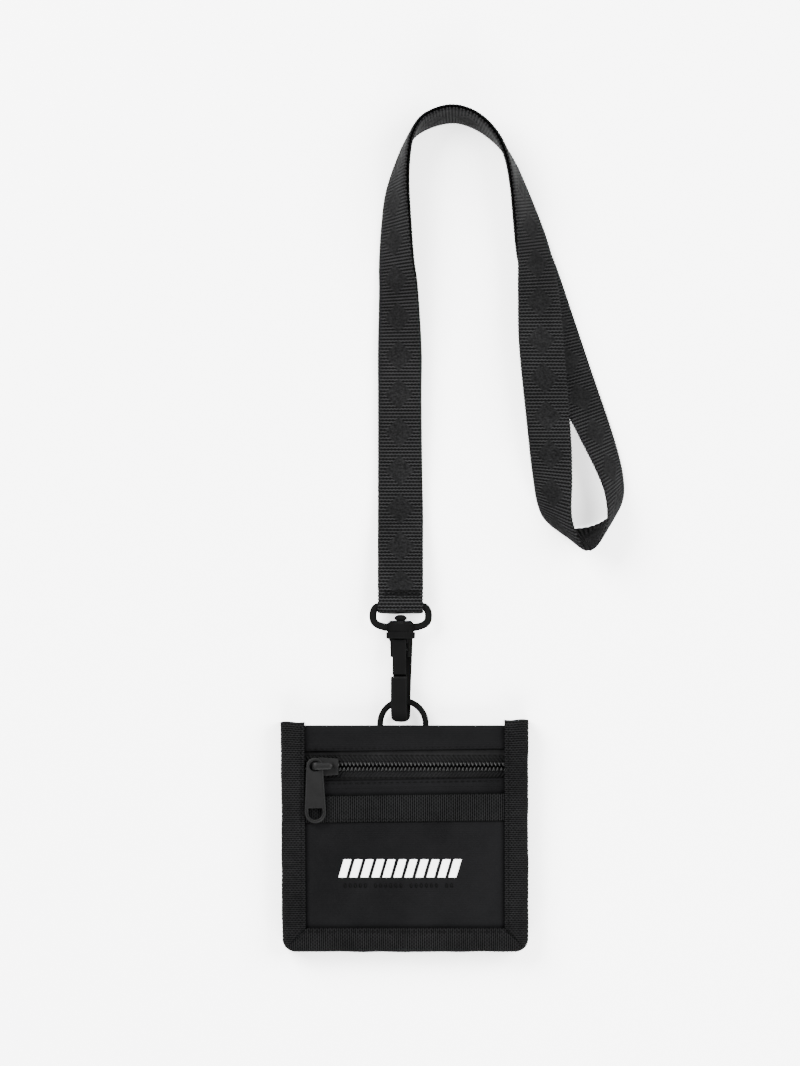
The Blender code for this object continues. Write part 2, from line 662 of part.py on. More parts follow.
def make_eye(mat, frame):
    """The swivel eye: a wire loop with a straight top bar, run into a round hub."""
    low = EYE_SIDE_Y - EYE_BOTTOM
    rise = EYE_BAR_Y - EYE_SIDE_Y
    corner = 2.6
    path = []
    for k in range(25):
        a = math.radians(180 + 180 * k / 24)
        along = math.copysign(abs(math.cos(a)) ** EYE_FULLNESS, math.cos(a))
        path.append((EYE_HALF_WIDTH * along, EYE_SIDE_Y - low * abs(math.sin(a)) ** EYE_FULLNESS))
    for centre, start in ((EYE_HALF_WIDTH - corner, 0), (corner - EYE_HALF_WIDTH, 90)):
        for k in range(1 if start == 0 else 0, 6 if start == 0 else 5):
            a = math.radians(start + 18 * k)
            path.append((centre + corner * math.cos(a), EYE_SIDE_Y + rise * math.sin(a)))
    eye = add_object("swivel_eye", wire_loop(path, EYE_WIRE, 12), mat, frame)
    r = HUB_RADIUS
    hub = [(0.01, HUB[0]), (r, HUB[0])]
    hub += [(r, HUB[1] - 1.2), (r - 1.2, HUB[1]), (0.01, HUB[1])]
    boolean(eye, "UNION", turned(hub))
    boolean(eye, "DIFFERENCE", cylinder(RIVET_RADIUS + GAP, HUB[0] - 1, HUB[1] + 3.2, "y"))


# Neck strap


def layer_under(row, next_row, drop):
    """The same line across the webbing, moved off its rear face, for the layer beneath."""
    right, left = Vector(row[:3]), Vector(row[3:])
    along = Vector(next_row[:3]) + Vector(next_row[3:]) - right - left
    shift = (right - left).cross(along).normalized() * drop
    return (*(left - shift), *(right - shift))


def make_strap(mat):
    """One length of webbing: folded tail, turn round the eye bar, front leg, low end, rear leg."""
    route = [(*right, *left) for right, left in STRAP_ROUTE]
    front = smooth_curve(route, STRAP_STEP)
    shared = smooth_curve(route[: JOIN_ROW + 1], STRAP_STEP)
    rear = [layer_under(a, b, STRAP_LAYER) for a, b in zip(shared, shared[1:])]
    rear = [row for row in rear[::-1] if row[1] > EYE_BAR_Y + 3.4]
    right, left = route[0][0], route[0][3]
    radius = EYE_WIRE + 0.35 + STRAP_THICK / 2
    turn = arc((EYE_BAR_Y, HOOK_Z), radius, 270, 90, 9)
    tail = [(TAIL_TOP, 4.3), (112.5, 4.1), (107.0, 4.0)] + turn
    start = [(right, y, z, left, y, z) for y, z in tail]
    front = [row for row in front if row[1] > EYE_BAR_Y + 0.8]
    add_object("neck_strap", webbing(start + front + rear, STRAP_THICK), mat)


def make_tack(mat):
    """The zigzag of thick thread that sews the strap's end shut."""
    low_y, high_y, half = 112.0, 115.5, 0.45
    route = [(*right, *left) for right, left in STRAP_ROUTE[:5]]
    centre = (route[0][0] + route[0][3]) / 2
    xs = [centre - 8.0 + 2.0 * k for k in range(9)]
    line = [(x, high_y if k % 2 else low_y) for k, x in enumerate(xs)]
    outline = [(x, y - half) for x, y in line] + [(x, y + half) for x, y in reversed(line)]
    bm = prism(outline, 0.0, 0.4)
    rows = smooth_curve(route, 1.0)
    for vert in bm.verts:
        row = min(rows, key=lambda r: abs(r[1] - vert.co.y))
        vert.co.z += row[2] + STRAP_THICK / 2 + 0.35
    add_object("strap_tack", bm, mat)


def main():
    for obj in list(bpy.data.objects):
        bpy.data.objects.remove(obj)
    fabric = material("black_oxford_cloth", (0.013, 0.013, 0.014), 0.75)
    ribbed = material("black_ribbed_tape", (0.018, 0.018, 0.019), 0.7)
    strap = material("black_strap_webbing", (0.02, 0.02, 0.022), 0.65)
    thread = material("black_thread", (0.015, 0.015, 0.016), 0.6)
    nylon = material("black_nylon_coil", (0.03, 0.03, 0.033), 0.3)
    hardware = material("matte_black_metal", (0.03, 0.03, 0.032), 0.42, 0.6)
    steel = material("dark_steel", (0.07, 0.07, 0.075), 0.4, 0.9)
    white = material("white_print", (0.85, 0.85, 0.84), 0.6)
    make_panels(fabric, ribbed)
    make_binding(ribbed)
    make_motif(white)
    make_ring_tab(ribbed)
    make_coils(nylon)
    make_slider(hardware)
    make_bridge(hardware)
    make_pull(hardware)
    make_ring(hardware)
    frame = add_empty("hook_frame", (HOOK_X, 0, HOOK_Z), (0, HOOK_TURN, 0))
    make_hook(hardware, frame)
    make_gate(hardware, steel, frame)
    make_spring(steel, frame)
    make_rivet(hardware, frame)
    make_eye(hardware, add_empty("eye_frame", (HOOK_X, 0, HOOK_Z)))
    make_strap(strap)
    make_tack(thread)


main()
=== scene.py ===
"""Looks of the neck pouch wallet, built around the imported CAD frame. Lengths are in metres.

+X is to the right of the pouch's front, +Y runs from its bottom to the strap, +Z comes out of the front.
"""

import math

import bmesh
import bpy
import numpy as np
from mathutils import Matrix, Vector


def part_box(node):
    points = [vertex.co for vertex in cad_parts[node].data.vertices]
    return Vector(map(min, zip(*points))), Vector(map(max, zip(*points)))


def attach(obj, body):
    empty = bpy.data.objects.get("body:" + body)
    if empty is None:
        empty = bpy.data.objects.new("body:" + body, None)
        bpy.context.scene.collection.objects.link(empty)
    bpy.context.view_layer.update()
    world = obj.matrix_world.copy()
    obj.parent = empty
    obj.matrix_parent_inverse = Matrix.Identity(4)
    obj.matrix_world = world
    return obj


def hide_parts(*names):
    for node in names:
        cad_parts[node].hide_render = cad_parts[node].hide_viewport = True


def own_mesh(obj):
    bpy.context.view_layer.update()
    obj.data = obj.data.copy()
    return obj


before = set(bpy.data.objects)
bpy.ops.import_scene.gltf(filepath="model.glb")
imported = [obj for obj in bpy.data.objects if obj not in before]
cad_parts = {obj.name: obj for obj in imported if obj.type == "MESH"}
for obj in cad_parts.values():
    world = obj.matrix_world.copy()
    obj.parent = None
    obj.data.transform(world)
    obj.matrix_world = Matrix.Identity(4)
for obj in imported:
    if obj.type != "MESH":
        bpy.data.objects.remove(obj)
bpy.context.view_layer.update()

MM = 0.001

# Cloth and tape
THREAD_PITCH = 0.42 * MM
RIB_PITCH = 0.95 * MM
RIB_HEIGHT = 0.26 * MM
EDGE_TILT = 0.0145  # the front's folds climb this much to the right
LEAN_LEFT = 0.8 * MM  # how far the pouch's lower left corner stands in
MOUTH_RISE = (0.3 * MM, 1.3 * MM)  # how far the tape's two top ends stand above the rest
BINDING_SHIFT = 0.25 * MM  # how far the tape round the pouch stands to the left
PANEL_HALF = 51.5 * MM  # half the width of the layers between the two sides
PANEL_FLOOR = -47.3 * MM  # where the panels end inside the tape

# Zip
ZIP_Y = 31.4 * MM
TOOTH_PITCH = 1.7 * MM

# Strap
STRAP_WIDTH = 20.0 * MM
STRAP_THICK = 1.2 * MM
STRAP_LAYER = 1.5 * MM
STRAP_RIB = 1.44 * MM
FIGURE_PITCH = 17.0 * MM
FIGURE_HALF = (7.0 * MM, 7.4 * MM)  # a lozenge's half width across the strap and half length along it
EYE_BAR = (102.5 * MM, 6.6 * MM)
WRAP_RADIUS = 2.6 * MM
LEG_GAPS = (0.8 * MM, 3.4 * MM)  # how far above the eye's bar the front leg starts and the rear leg ends
JOIN_ROW = 20  # the route's row where the rear leg has come back under the front leg
TIP_ROW = 27  # the route's row at the tip of the low end

# Stitches: length, pitch and thickness
TACK_STITCH = (2.4 * MM, 2.3 * MM, 0.72 * MM)
TACK_ROW_STITCH = (2.1 * MM, 2.3 * MM, 0.62 * MM)
TRIM_STITCH = (1.9 * MM, 2.6 * MM, 0.34 * MM)
BINDING_STITCH = (1.9 * MM, 2.7 * MM, 0.34 * MM)
ZIP_STITCH = (1.7 * MM, 2.3 * MM, 0.32 * MM)
FOLD_STITCH = (1.9 * MM, 2.6 * MM, 0.3 * MM)

# The strap's route, in millimetres, with the rows that the CAD has: each row runs across the
# webbing, from the edge on the right of the direction of travel to the edge on the left.
STRAP_ROUTE = [
    ((8.0, 103.5, 9.3), (-12.0, 103.5, 9.3)),
    ((8.0, 110.5, 9.0), (-12.0, 110.5, 9.0)),
    ((8.0, 120.5, 7.5), (-12.0, 120.5, 7.5)),
    ((8.0, 132.0, 5.5), (-12.0, 132.0, 5.5)),
    ((8.0, 145.0, 3.5), (-12.0, 145.0, 3.0)),
    ((7.5, 165.0, 4.5), (-12.0, 165.0, 2.0)),
    ((7.0, 195.0, 7.0), (-12.0, 195.0, 2.0)),
    ((7.0, 216.0, 8.0), (-12.0, 216.0, 2.0)),
    ((5.0, 243.0, 12.5), (-11.5, 242.0, 2.0)),
    ((3.0, 256.5, 15.0), (-11.5, 254.5, 1.5)),
    ((1.5, 274.0, 17.0), (-10.5, 271.0, 1.5)),
    ((0.5, 290.0, 18.5), (-8.5, 286.0, 1.2)),
    ((1.0, 303.5, 19.5), (-4.0, 299.5, 1.0)),
    ((3.0, 313.0, 20.3), (1.0, 309.5, 0.8)),
    ((8.5, 320.5, 20.2), (9.0, 315.5, 0.7)),
    ((20.0, 324.5, 19.5), (20.5, 318.5, 0.7)),
    ((31.5, 321.5, 20.0), (30.0, 316.5, 0.7)),
    ((40.5, 313.0, 20.4), (39.0, 311.0, 0.8)),
    ((45.5, 302.0, 20.0), (47.0, 302.5, 0.9)),
    ((48.0, 287.5, 19.5), (54.0, 288.5, 1.2)),
    ((50.0, 262.0, 15.8), (63.5, 264.0, 1.8)),
    ((50.0, 242.0, 14.0), (68.0, 243.0, 6.0)),
    ((50.5, 217.0, 13.5), (70.5, 217.0, 10.5)),
    ((54.5, 178.0, 9.5), (73.5, 178.0, 14.5)),
    ((56.5, 161.5, 5.5), (74.0, 159.5, 15.0)),
    ((59.0, 147.5, 2.0), (74.0, 141.0, 16.0)),
    ((63.5, 140.0, 0.8), (79.0, 128.5, 17.0)),
    ((73.5, 137.0, 0.7), (81.5, 127.5, 17.4)),
    ((84.5, 138.5, 0.7), (82.5, 127.5, 17.4)),
    ((93.5, 144.5, 0.7), (85.5, 130.5, 17.2)),
    ((97.0, 151.0, 0.7), (89.5, 140.5, 16.7)),
    ((97.0, 159.5, 0.7), (88.5, 152.5, 16.0)),
    ((95.0, 169.5, 0.7), (84.0, 164.0, 15.0)),
    ((90.5, 184.5, 0.7), (76.5, 179.0, 13.3)),
    ((82.5, 208.0, 0.7), (65.0, 203.0, 10.0)),
    ((67.5, 252.5, 0.7), (51.5, 250.0, 11.3)),
]


# Meshes from grids of points


def new_object(name, data):
    obj = bpy.data.objects.new(name, data)
    bpy.context.scene.collection.objects.link(obj)
    return obj


def mesh_object(name, points, faces, material, uv=None):
    """A smooth-shaded object from numpy points and faces; uv holds one pair for each point."""
    mesh = bpy.data.meshes.new(name)
    mesh.from_pydata(points.tolist(), [], faces.tolist())
    if uv is not None:
        corner = np.empty(len(mesh.loops), np.int32)
        mesh.loops.foreach_get("vertex_index", corner)
        mesh.uv_layers.new(name="surface").data.foreach_set("uv", uv[corner].ravel())
    mesh.shade_smooth()
    mesh.materials.append(material)
    return new_object(name, mesh)


def grid_faces(rows, cols, start=0):
    index = start + np.arange(rows * cols).reshape(rows, cols)
    quads = (index[:-1, :-1], index[1:, :-1], index[1:, 1:], index[:-1, 1:])
    return np.stack(quads, axis=-1).reshape(-1, 4)


def slab(name, top, bottom, material, uv=None):
    """A closed skin between two grids of points, each of shape (rows, columns, 3)."""
    rows, cols = top.shape[:2]
    points = np.concatenate([top.reshape(-1, 3), bottom.reshape(-1, 3)])
    upper = grid_faces(rows, cols)
    lower = grid_faces(rows, cols, rows * cols)[:, ::-1]
    index = np.arange(rows * cols).reshape(rows, cols)
    rim = np.concatenate([index[0], index[1:, -1], index[-1, -2::-1], index[-2:0:-1, 0]])
    ahead = np.roll(rim, -1)
    under = rows * cols
    walls = np.stack([rim, ahead, ahead + under, rim + under], axis=-1)
    faces = np.concatenate([upper, lower, walls])
    corner = points[faces]
    inward = np.einsum("ij,ij->i", corner[:, 0], np.cross(corner[:, 1], corner[:, 2])).sum() < 0
    if inward:
        faces = faces[:, ::-1]
    both = None if uv is None else np.concatenate([uv.reshape(-1, 2)] * 2)
    return mesh_object(name, points, faces, material, both)


def scatter(name, template, frames, material):
    """Copies of one small closed shape, each placed by (centre, x axis, y axis, z axis)."""
    shape, faces = template
    placed = []
    for centre, *axes in frames:
        placed.append(np.asarray(centre) + shape @ np.asarray(axes))
    count = len(shape)
    all_faces = np.concatenate([faces + k * count for k in range(len(frames))])
    return mesh_object(name, np.concatenate(placed), all_faces, material)


def tube_template(path, radii, sides):
    """A closed tube of triangles along a path that nowhere runs along Z: its points and its faces."""
    path = np.asarray(path, float)
    along = np.gradient(path, axis=0)
    along /= np.linalg.norm(along, axis=1)[:, None]
    side = np.cross(np.array([0.0, 0.0, 1.0]), along)
    side /= np.maximum(np.linalg.norm(side, axis=1), 1e-9)[:, None]
    up = np.cross(along, side)
    angle = np.linspace(0, 2 * math.pi, sides, endpoint=False)[:, None, None]
    ring = np.cos(angle) * side + np.sin(angle) * up
    points = path[:, None] + np.asarray(radii)[:, None, None] * ring.transpose(1, 0, 2)
    index = np.arange(len(path) * sides).reshape(-1, sides)
    ahead = np.roll(index, -1, axis=1)
    quads = np.stack([index[:-1], ahead[:-1], ahead[1:], index[1:]], axis=-1).reshape(-1, 4)
    points = np.concatenate([points.reshape(-1, 3), path[[0, -1]]])
    first = np.stack([np.full(sides, len(points) - 2), ahead[0], index[0]], axis=-1)
    last = np.stack([np.full(sides, len(points) - 1), index[-1], ahead[-1]], axis=-1)
    return points, np.concatenate([quads[:, [0, 1, 2]], quads[:, [0, 2, 3]], first, last])


def stitch_template(length, thick):
    """One stitch: a short thread that dives into the cloth at both ends."""
    steps = np.linspace(-0.5, 0.5, 7)
    height = (0.25 - steps**2) * 1.2 * thick - 0.1 * thick
    path = points_at(steps * length, steps * 0, height)
    radii = thick / 2 * np.array([0.35, 0.8, 1.0, 1.0, 1.0, 0.8, 0.35])
    return tube_template(path, radii, 6)


def stitch_row(name, line, stitch, body="pouch", up=(0, 0, 1)):
    """Stitches of black thread along a polyline, on a surface whose normal is up."""
    length, pitch, thick = stitch
    line = np.asarray(line, float)
    steps = np.linalg.norm(np.diff(line, axis=0), axis=1)
    reach = np.concatenate([[0.0], np.cumsum(steps)])
    places = np.arange(pitch / 2, reach[-1], pitch)
    up = np.asarray(up, float)
    frames = []
    for place in places:
        centre = [np.interp(place, reach, line[:, k]) for k in range(3)]
        ahead = [np.interp(place + pitch / 9, reach, line[:, k]) for k in range(3)]
        behind = [np.interp(place - pitch / 9, reach, line[:, k]) for k in range(3)]
        along = np.subtract(ahead, behind)
        along /= np.linalg.norm(along)
        frames.append((centre, along, np.cross(up, along), up))
    row = scatter(name, stitch_template(length, thick), frames, THREAD)
    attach(row, body)
    return row


def points_at(x, y, z):
    return np.stack([x, y, z], axis=-1)


def smoothstep(t):
    t = np.clip(t, 0.0, 1.0)
    return t * t * (3 - 2 * t)


def ripple(x, y, scale):
    """A soft, uneven wave from -1 to 1, the same at every run."""
    a = np.sin(2 * math.pi * (x * 1.0 + y * 0.35) / scale + 0.7)
    b = np.sin(2 * math.pi * (y * 1.3 - x * 0.42) / scale + 2.1)
    c = np.sin(2 * math.pi * (x * 2.3 + y * 1.9) / scale + 4.4)
    return (a + b + 0.6 * c) / 2.6


def ribs(along, pitch):
    """1 on the crests of a tape's ribs, 0 between them."""
    return 0.5 + 0.5 * np.cos(2 * math.pi * along / pitch)


# Materials


class Shader:
    """A Principled material and short ways to add nodes to it."""

    def __init__(self, name, roughness, metallic=0.0, sheen=0.0, specular=0.5):
        self.material = bpy.data.materials.new(name)
        self.material.use_nodes = True
        self.tree = self.material.node_tree
        self.main = self.tree.nodes["Principled BSDF"]
        values = {"Roughness": roughness, "Metallic": metallic, "Specular IOR Level": specular}
        values |= {"Sheen Weight": sheen, "Sheen Roughness": 0.5}
        for socket, value in values.items():
            self.main.inputs[socket].default_value = value
        coordinates = self.tree.nodes.new("ShaderNodeTexCoord")
        self.place = coordinates.outputs["Object"]
        self.surface = coordinates.outputs["UV"]

    def link(self, value, socket):
        if isinstance(value, (int, float)):
            socket.default_value = value
        elif isinstance(value, tuple):
            socket.default_value = (*value, 1.0) if len(value) == 3 else value
        else:
            self.tree.links.new(value, socket)

    def math(self, operation, first, second=0.0):
        node = self.tree.nodes.new("ShaderNodeMath")
        node.operation = operation
        self.link(first, node.inputs[0])
        self.link(second, node.inputs[1])
        return node.outputs[0]

    def times(self, first, second):
        return self.math("MULTIPLY", first, second)

    def plus(self, first, second):
        return self.math("ADD", first, second)

    def parts(self, vector):
        node = self.tree.nodes.new("ShaderNodeSeparateXYZ")
        self.tree.links.new(vector, node.inputs[0])
        return node.outputs

    def wave(self, value, pitch, shift=0.0):
        """A sine of the given pitch."""
        turns = self.times(value, 2 * math.pi / pitch)
        return self.math("SINE", self.plus(turns, shift))

    def noise(self, vector, scale, detail=3.0, roughness=0.55):
        node = self.tree.nodes.new("ShaderNodeTexNoise")
        for socket, value in (("Scale", scale), ("Detail", detail), ("Roughness", roughness)):
            node.inputs[socket].default_value = value
        self.tree.links.new(vector, node.inputs["Vector"])
        return node.outputs["Fac"]

    def blend(self, factor, first, second):
        node = self.tree.nodes.new("ShaderNodeMix")
        node.data_type = "RGBA"
        self.link(factor, node.inputs["Factor"])
        self.link(first, node.inputs["A"])
        self.link(second, node.inputs["B"])
        return node.outputs["Result"]

    def mix(self, factor, first, second):
        """Like blend, for plain numbers."""
        kept = self.times(first, self.math("SUBTRACT", 1.0, factor))
        return self.plus(kept, self.times(second, factor))

    def lozenge(self, across, along):
        """1 inside the strap's lozenges and 0 outside."""
        turn = self.math("FRACT", self.plus(self.math("DIVIDE", along, FIGURE_PITCH), 0.5))
        place = self.math("ABSOLUTE", self.math("SUBTRACT", turn, 0.5))
        upright = self.times(place, FIGURE_PITCH / FIGURE_HALF[1])
        sideways = self.math("DIVIDE", self.math("ABSOLUTE", across), FIGURE_HALF[0])
        return self.ramp(self.math("SUBTRACT", 1.0, self.plus(upright, sideways)), 0.0, 0.12)

    def ramp(self, value, low, high):
        """Maps low..high to 0..1."""
        node = self.tree.nodes.new("ShaderNodeMapRange")
        node.inputs["From Min"].default_value = low
        node.inputs["From Max"].default_value = high
        self.tree.links.new(value, node.inputs["Value"])
        return node.outputs["Result"]

    def colour(self, value):
        self.link(value, self.main.inputs["Base Color"])

    def painted_shade(self, value, reach=2.2 * MM, floor=0.12):
        """Painted shade: the colour falls to a fraction of itself in seams and under folds, by ambient
        occlusion.
        """
        node = self.tree.nodes.new("ShaderNodeAmbientOcclusion")
        node.samples = 6
        node.inputs["Distance"].default_value = reach
        open_share = self.ramp(node.outputs["AO"], 0.45, 0.95)
        amount = self.plus(self.times(open_share, 1.0 - floor), floor)
        return self.blend(amount, (0.0, 0.0, 0.0), value)

    def roughness(self, value):
        self.link(value, self.main.inputs["Roughness"])

    def bump(self, height, distance, strength=1.0):
        node = self.tree.nodes.new("ShaderNodeBump")
        node.inputs["Distance"].default_value = distance
        node.inputs["Strength"].default_value = strength
        self.tree.links.new(height, node.inputs["Height"])
        self.tree.links.new(node.outputs["Normal"], self.main.inputs["Normal"])


def grey(level, blue=None):
    """A neutral colour, or one whose blue differs a little."""
    return (level, level, level if blue is None else blue)


def woven(name, dark, light, pitch):
    """Plain weave: crossing threads, faint lines across and a slow change of shade."""
    shader = Shader(name, 0.8, specular=0.015)
    x, y, _ = shader.parts(shader.place)
    weave = shader.times(shader.wave(x, pitch), shader.wave(y, pitch))
    lines = shader.wave(y, pitch * 2.35)
    grain = shader.noise(shader.place, 900.0, 4.0)
    slow = shader.noise(shader.place, 38.0, 3.0)
    height = shader.plus(shader.times(weave, 0.6), shader.times(lines, 0.3))
    height = shader.plus(height, shader.times(grain, 0.9))
    # Painted highlight: the colour is lighter where the weave stands higher, plus a slow random change of
    # tone.
    shade = shader.plus(shader.times(height, 0.22), slow)
    # Painted shade darkens the colour in seams and under folds.
    shader.colour(shader.painted_shade(shader.blend(shader.ramp(shade, 0.2, 0.85), dark, light)))
    shader.roughness(shader.ramp(slow, -1.2, 1.5))
    shader.bump(height, 0.05 * MM, 0.7)
    return shader.material


def ribbed(name, dark, light, dash, rib, figured=False):
    """Ribbed tape: UV holds metres across and along it; each rib is broken into short dashes.

    Figured tape changes to a fine speckle inside its lozenges, which match the raised ones.
    """
    shader = Shader(name, 0.62, specular=0.012)
    across, along, _ = shader.parts(shader.surface)
    crest = shader.times(shader.plus(shader.wave(along, rib, math.pi / 2), 1.0), 0.5)
    half_turn = shader.times(shader.math("FLOOR", shader.math("DIVIDE", along, rib)), math.pi)
    shifted = shader.plus(shader.times(across, 2 * math.pi / dash), half_turn)
    dashes = shader.times(shader.plus(shader.math("SINE", shifted), 1.0), 0.5)
    grain = shader.noise(shader.place, 1500.0, 3.0)
    slow = shader.noise(shader.place, 60.0, 3.0)
    height = shader.times(crest, shader.plus(shader.times(dashes, 0.75), 0.25))
    patches = shader.ramp(shader.noise(shader.place, 520.0, 2.0), 0.36, 0.6)
    height = shader.times(height, shader.plus(shader.times(patches, 0.25), 0.75))
    if figured:
        speckle = shader.ramp(shader.noise(shader.place, 1250.0, 2.0), 0.34, 0.72)
        speckle = shader.plus(shader.times(speckle, 0.25), 0.12)
        height = shader.mix(shader.lozenge(across, along), height, speckle)
    # Painted highlight: the colour is lighter on the ribs' crests and dashes, and the gaps between them are
    # painted shade; patches and lozenges add real tone.
    shade = shader.times(height, shader.plus(slow, 0.55))
    # Painted shade darkens the colour in seams and under folds.
    shader.colour(shader.painted_shade(shader.blend(shader.ramp(shade, 0.06, 0.72), dark, light), 1.6 * MM, 0.25))
    shader.bump(shader.plus(height, shader.times(grain, 0.5)), 0.09 * MM, 0.8)
    return shader.material


def painted(name, dark, light, roughness, specular, grain, metallic=0.0):
    """Cast metal under black paint: an uneven skin, lighter in patches on what stands out."""
    shader = Shader(name, roughness, metallic=metallic, specular=specular)
    fine = shader.noise(shader.place, 2600.0, 3.0)
    slow = shader.noise(shader.place, 140.0, 4.0)
    geometry = shader.tree.nodes.new("ShaderNodeNewGeometry")
    edges = shader.ramp(geometry.outputs["Pointiness"], 0.49, 0.56)
    edge_patches = shader.times(edges, slow)
    shader.colour(shader.blend(edge_patches, dark, light))
    shader.roughness(shader.ramp(shader.plus(slow, fine), 0.6 - roughness * 2, 2.2))
    shader.bump(fine, grain, 0.6)
    return shader.material


def plain_thread(name, colour, light, sheen=0.0):
    """Sewing or embroidery thread, with a fine twist along it."""
    shader = Shader(name, 0.55, sheen=sheen, specular=0.04)
    x, y, _ = shader.parts(shader.place)
    twist = shader.wave(shader.plus(x, y), 0.35 * MM)
    grain = shader.noise(shader.place, 1800.0, 2.0)
    shader.colour(shader.blend(grain, colour, light))
    shader.bump(shader.plus(twist, grain), 0.03 * MM, 0.6)
    return shader.material


def floor_material():
    shader = Shader("pale_floor", 0.8)
    grain = shader.noise(shader.place, 3.0, 2.0)
    shader.colour(shader.blend(grain, grey(0.9), grey(0.92)))
    shader.main.inputs["Emission Color"].default_value = (1.0, 1.0, 1.0, 1.0)
    shader.main.inputs["Emission Strength"].default_value = 1.2
    return shader.material


# Cloth and tape: the lighter colour is a painted highlight on raised threads and ribs.
CLOTH = woven("oxford_cloth", grey(0.001, 0.0011), grey(0.0032, 0.0034), THREAD_PITCH)
TAPE = ribbed("ribbed_tape", grey(0.0), grey(0.0084, 0.0086), 1.5 * MM, RIB_PITCH)
STRAP = ribbed("strap_webbing", grey(0.0006), grey(0.0125, 0.0128), 1.6 * MM, STRAP_RIB, figured=True)
ZIP_CLOTH = woven("zip_tape", grey(0.0008), grey(0.0055, 0.0056), 0.6 * MM)
NYLON = painted("nylon_coil", grey(0.0006), grey(0.004, 0.0042), 0.3, 0.4, 0.004 * MM)
BLACK_METAL = painted("black_metal", grey(0.0022), grey(0.008), 0.5, 0.0, 0.012 * MM)
ZIP_METAL = painted("zip_metal", grey(0.0008), grey(0.004), 0.5, 0.1, 0.012 * MM)
STEEL = painted("dark_steel", grey(0.003, 0.0031), grey(0.02), 0.35, 0.2, 0.006 * MM, metallic=0.5)
THREAD = plain_thread("black_thread", grey(0.0001), grey(0.0012))
WHITE = plain_thread("white_thread", grey(0.78, 0.77), grey(0.9), sheen=0.1)


# Camera and light


def make_camera():
    """Straight down on the whole object, from far away, as a product shot of something lying flat."""
    centre = (-2.2 * MM, 135.0 * MM)
    view_height = 473.7 * MM
    camera = bpy.data.cameras.new("camera")
    camera.lens = 300.0
    camera.sensor_width = 36.0
    distance = view_height * camera.lens / camera.sensor_width
    camera.clip_end = 20.0
    obj = new_object("camera", camera)
    obj.location = (*centre, distance)
    bpy.context.scene.camera = obj


def area_light(name, place, aim, size, power):
    light = bpy.data.lights.new(name, "AREA")
    light.shape = "RECTANGLE"
    light.size, light.size_y = size
    light.energy = power
    obj = new_object(name, light)
    obj.location = place
    obj.rotation_euler = (Vector(aim) - Vector(place)).to_track_quat("-Z", "Y").to_euler()


def make_stage():
    half, depth = 3.0, -0.0002
    signs = ((-1, -1), (1, -1), (1, 1), (-1, 1))
    corners = np.array([(half * x, half * y, depth) for x, y in signs])
    floor = mesh_object("floor", corners, np.array([[0, 1, 2, 3]]), floor_material())
    world = bpy.data.worlds.new("studio")
    world.use_nodes = True
    background = world.node_tree.nodes["Background"]
    background.inputs["Color"].default_value = (1.0, 1.0, 1.0, 1.0)
    background.inputs["Strength"].default_value = 0.8
    bpy.context.scene.world = world
    area_light("key", (-0.95, 0.95, 1.05), (0.0, 0.1, 0.0), (1.0, 1.0), 130.0)
    area_light("fill", (1.1, 0.45, 1.0), (0.0, 0.1, 0.0), (1.0, 1.2), 84.0)
    area_light("low", (0.1, -1.05, 0.8), (0.0, 0.0, 0.0), (1.4, 0.7), 63.0)


# Neck strap


def catmull(rows, steps):
    """Points on a Catmull-Rom curve through rows of numbers."""
    padded = np.concatenate([rows[:1], rows, rows[-1:]])
    t = (np.arange(steps) / steps)[:, None]
    out = []
    for a, b, c, d in zip(padded, padded[1:], padded[2:], padded[3:]):
        curve = 2 * b + (c - a) * t + (2 * a - 5 * b + 4 * c - d) * t * t + (3 * b - a - 3 * c + d) * t**3
        out.append(curve / 2)
    return np.concatenate(out + [rows[-1:]])


def centre_of(rows):
    return (rows[:, :3] + rows[:, 3:]) / 2


def even(rows, step):
    """The same line with its rows a fixed distance apart along its centre, and that distance."""
    reach = np.linalg.norm(np.diff(centre_of(rows), axis=0), axis=1)
    reach = np.concatenate([[0.0], np.cumsum(reach)])
    places = np.arange(0.0, reach[-1], step)
    return np.stack([np.interp(places, reach, rows[:, k]) for k in range(6)], axis=-1), places


def normals_of(rows):
    along = np.gradient(centre_of(rows), axis=0)
    normal = np.cross(rows[:, :3] - rows[:, 3:], along)
    return normal / np.linalg.norm(normal, axis=1)[:, None]


def spread(rows, reach, share, width):
    """Places across the webbing, its points there on every row, and their UVs in metres."""
    across = (share - 0.5) * width
    middle = rows[:, None, :3] * (1 - share)[None, :, None] + rows[:, None, 3:] * share[None, :, None]
    return across, middle, np.stack(np.broadcast_arrays(across[None, :], reach[:, None]), axis=-1)


def strap_rows():
    """Control rows of the whole webbing, and how many come before and up to the low end's tip."""
    route = np.array([[*right, *left] for right, left in STRAP_ROUTE]) * MM
    right, left = route[0, 0], route[0, 3]
    bar_y, bar_z = EYE_BAR
    angles = np.radians(np.linspace(270, 90, 10))
    turn = [(bar_y + WRAP_RADIUS * math.cos(a), bar_z + WRAP_RADIUS * math.sin(a)) for a in angles]
    tail = [(118.5 * MM, 4.3 * MM), (112.5 * MM, 4.1 * MM), (107.0 * MM, 4.0 * MM)]
    start = np.array([[right, y, z, left, y, z] for y, z in tail + turn])
    shared = catmull(route[: JOIN_ROW + 1], 4)
    drop = normals_of(shared) * STRAP_LAYER
    under = np.concatenate([shared[:, 3:] - drop, shared[:, :3] - drop], axis=1)[::-4]
    front_gap, under_gap = LEG_GAPS
    under = under[under[:, 1] > bar_y + under_gap]
    front = route[route[:, 1] > bar_y + front_gap]
    return np.concatenate([start, front, under]), len(start) + TIP_ROW


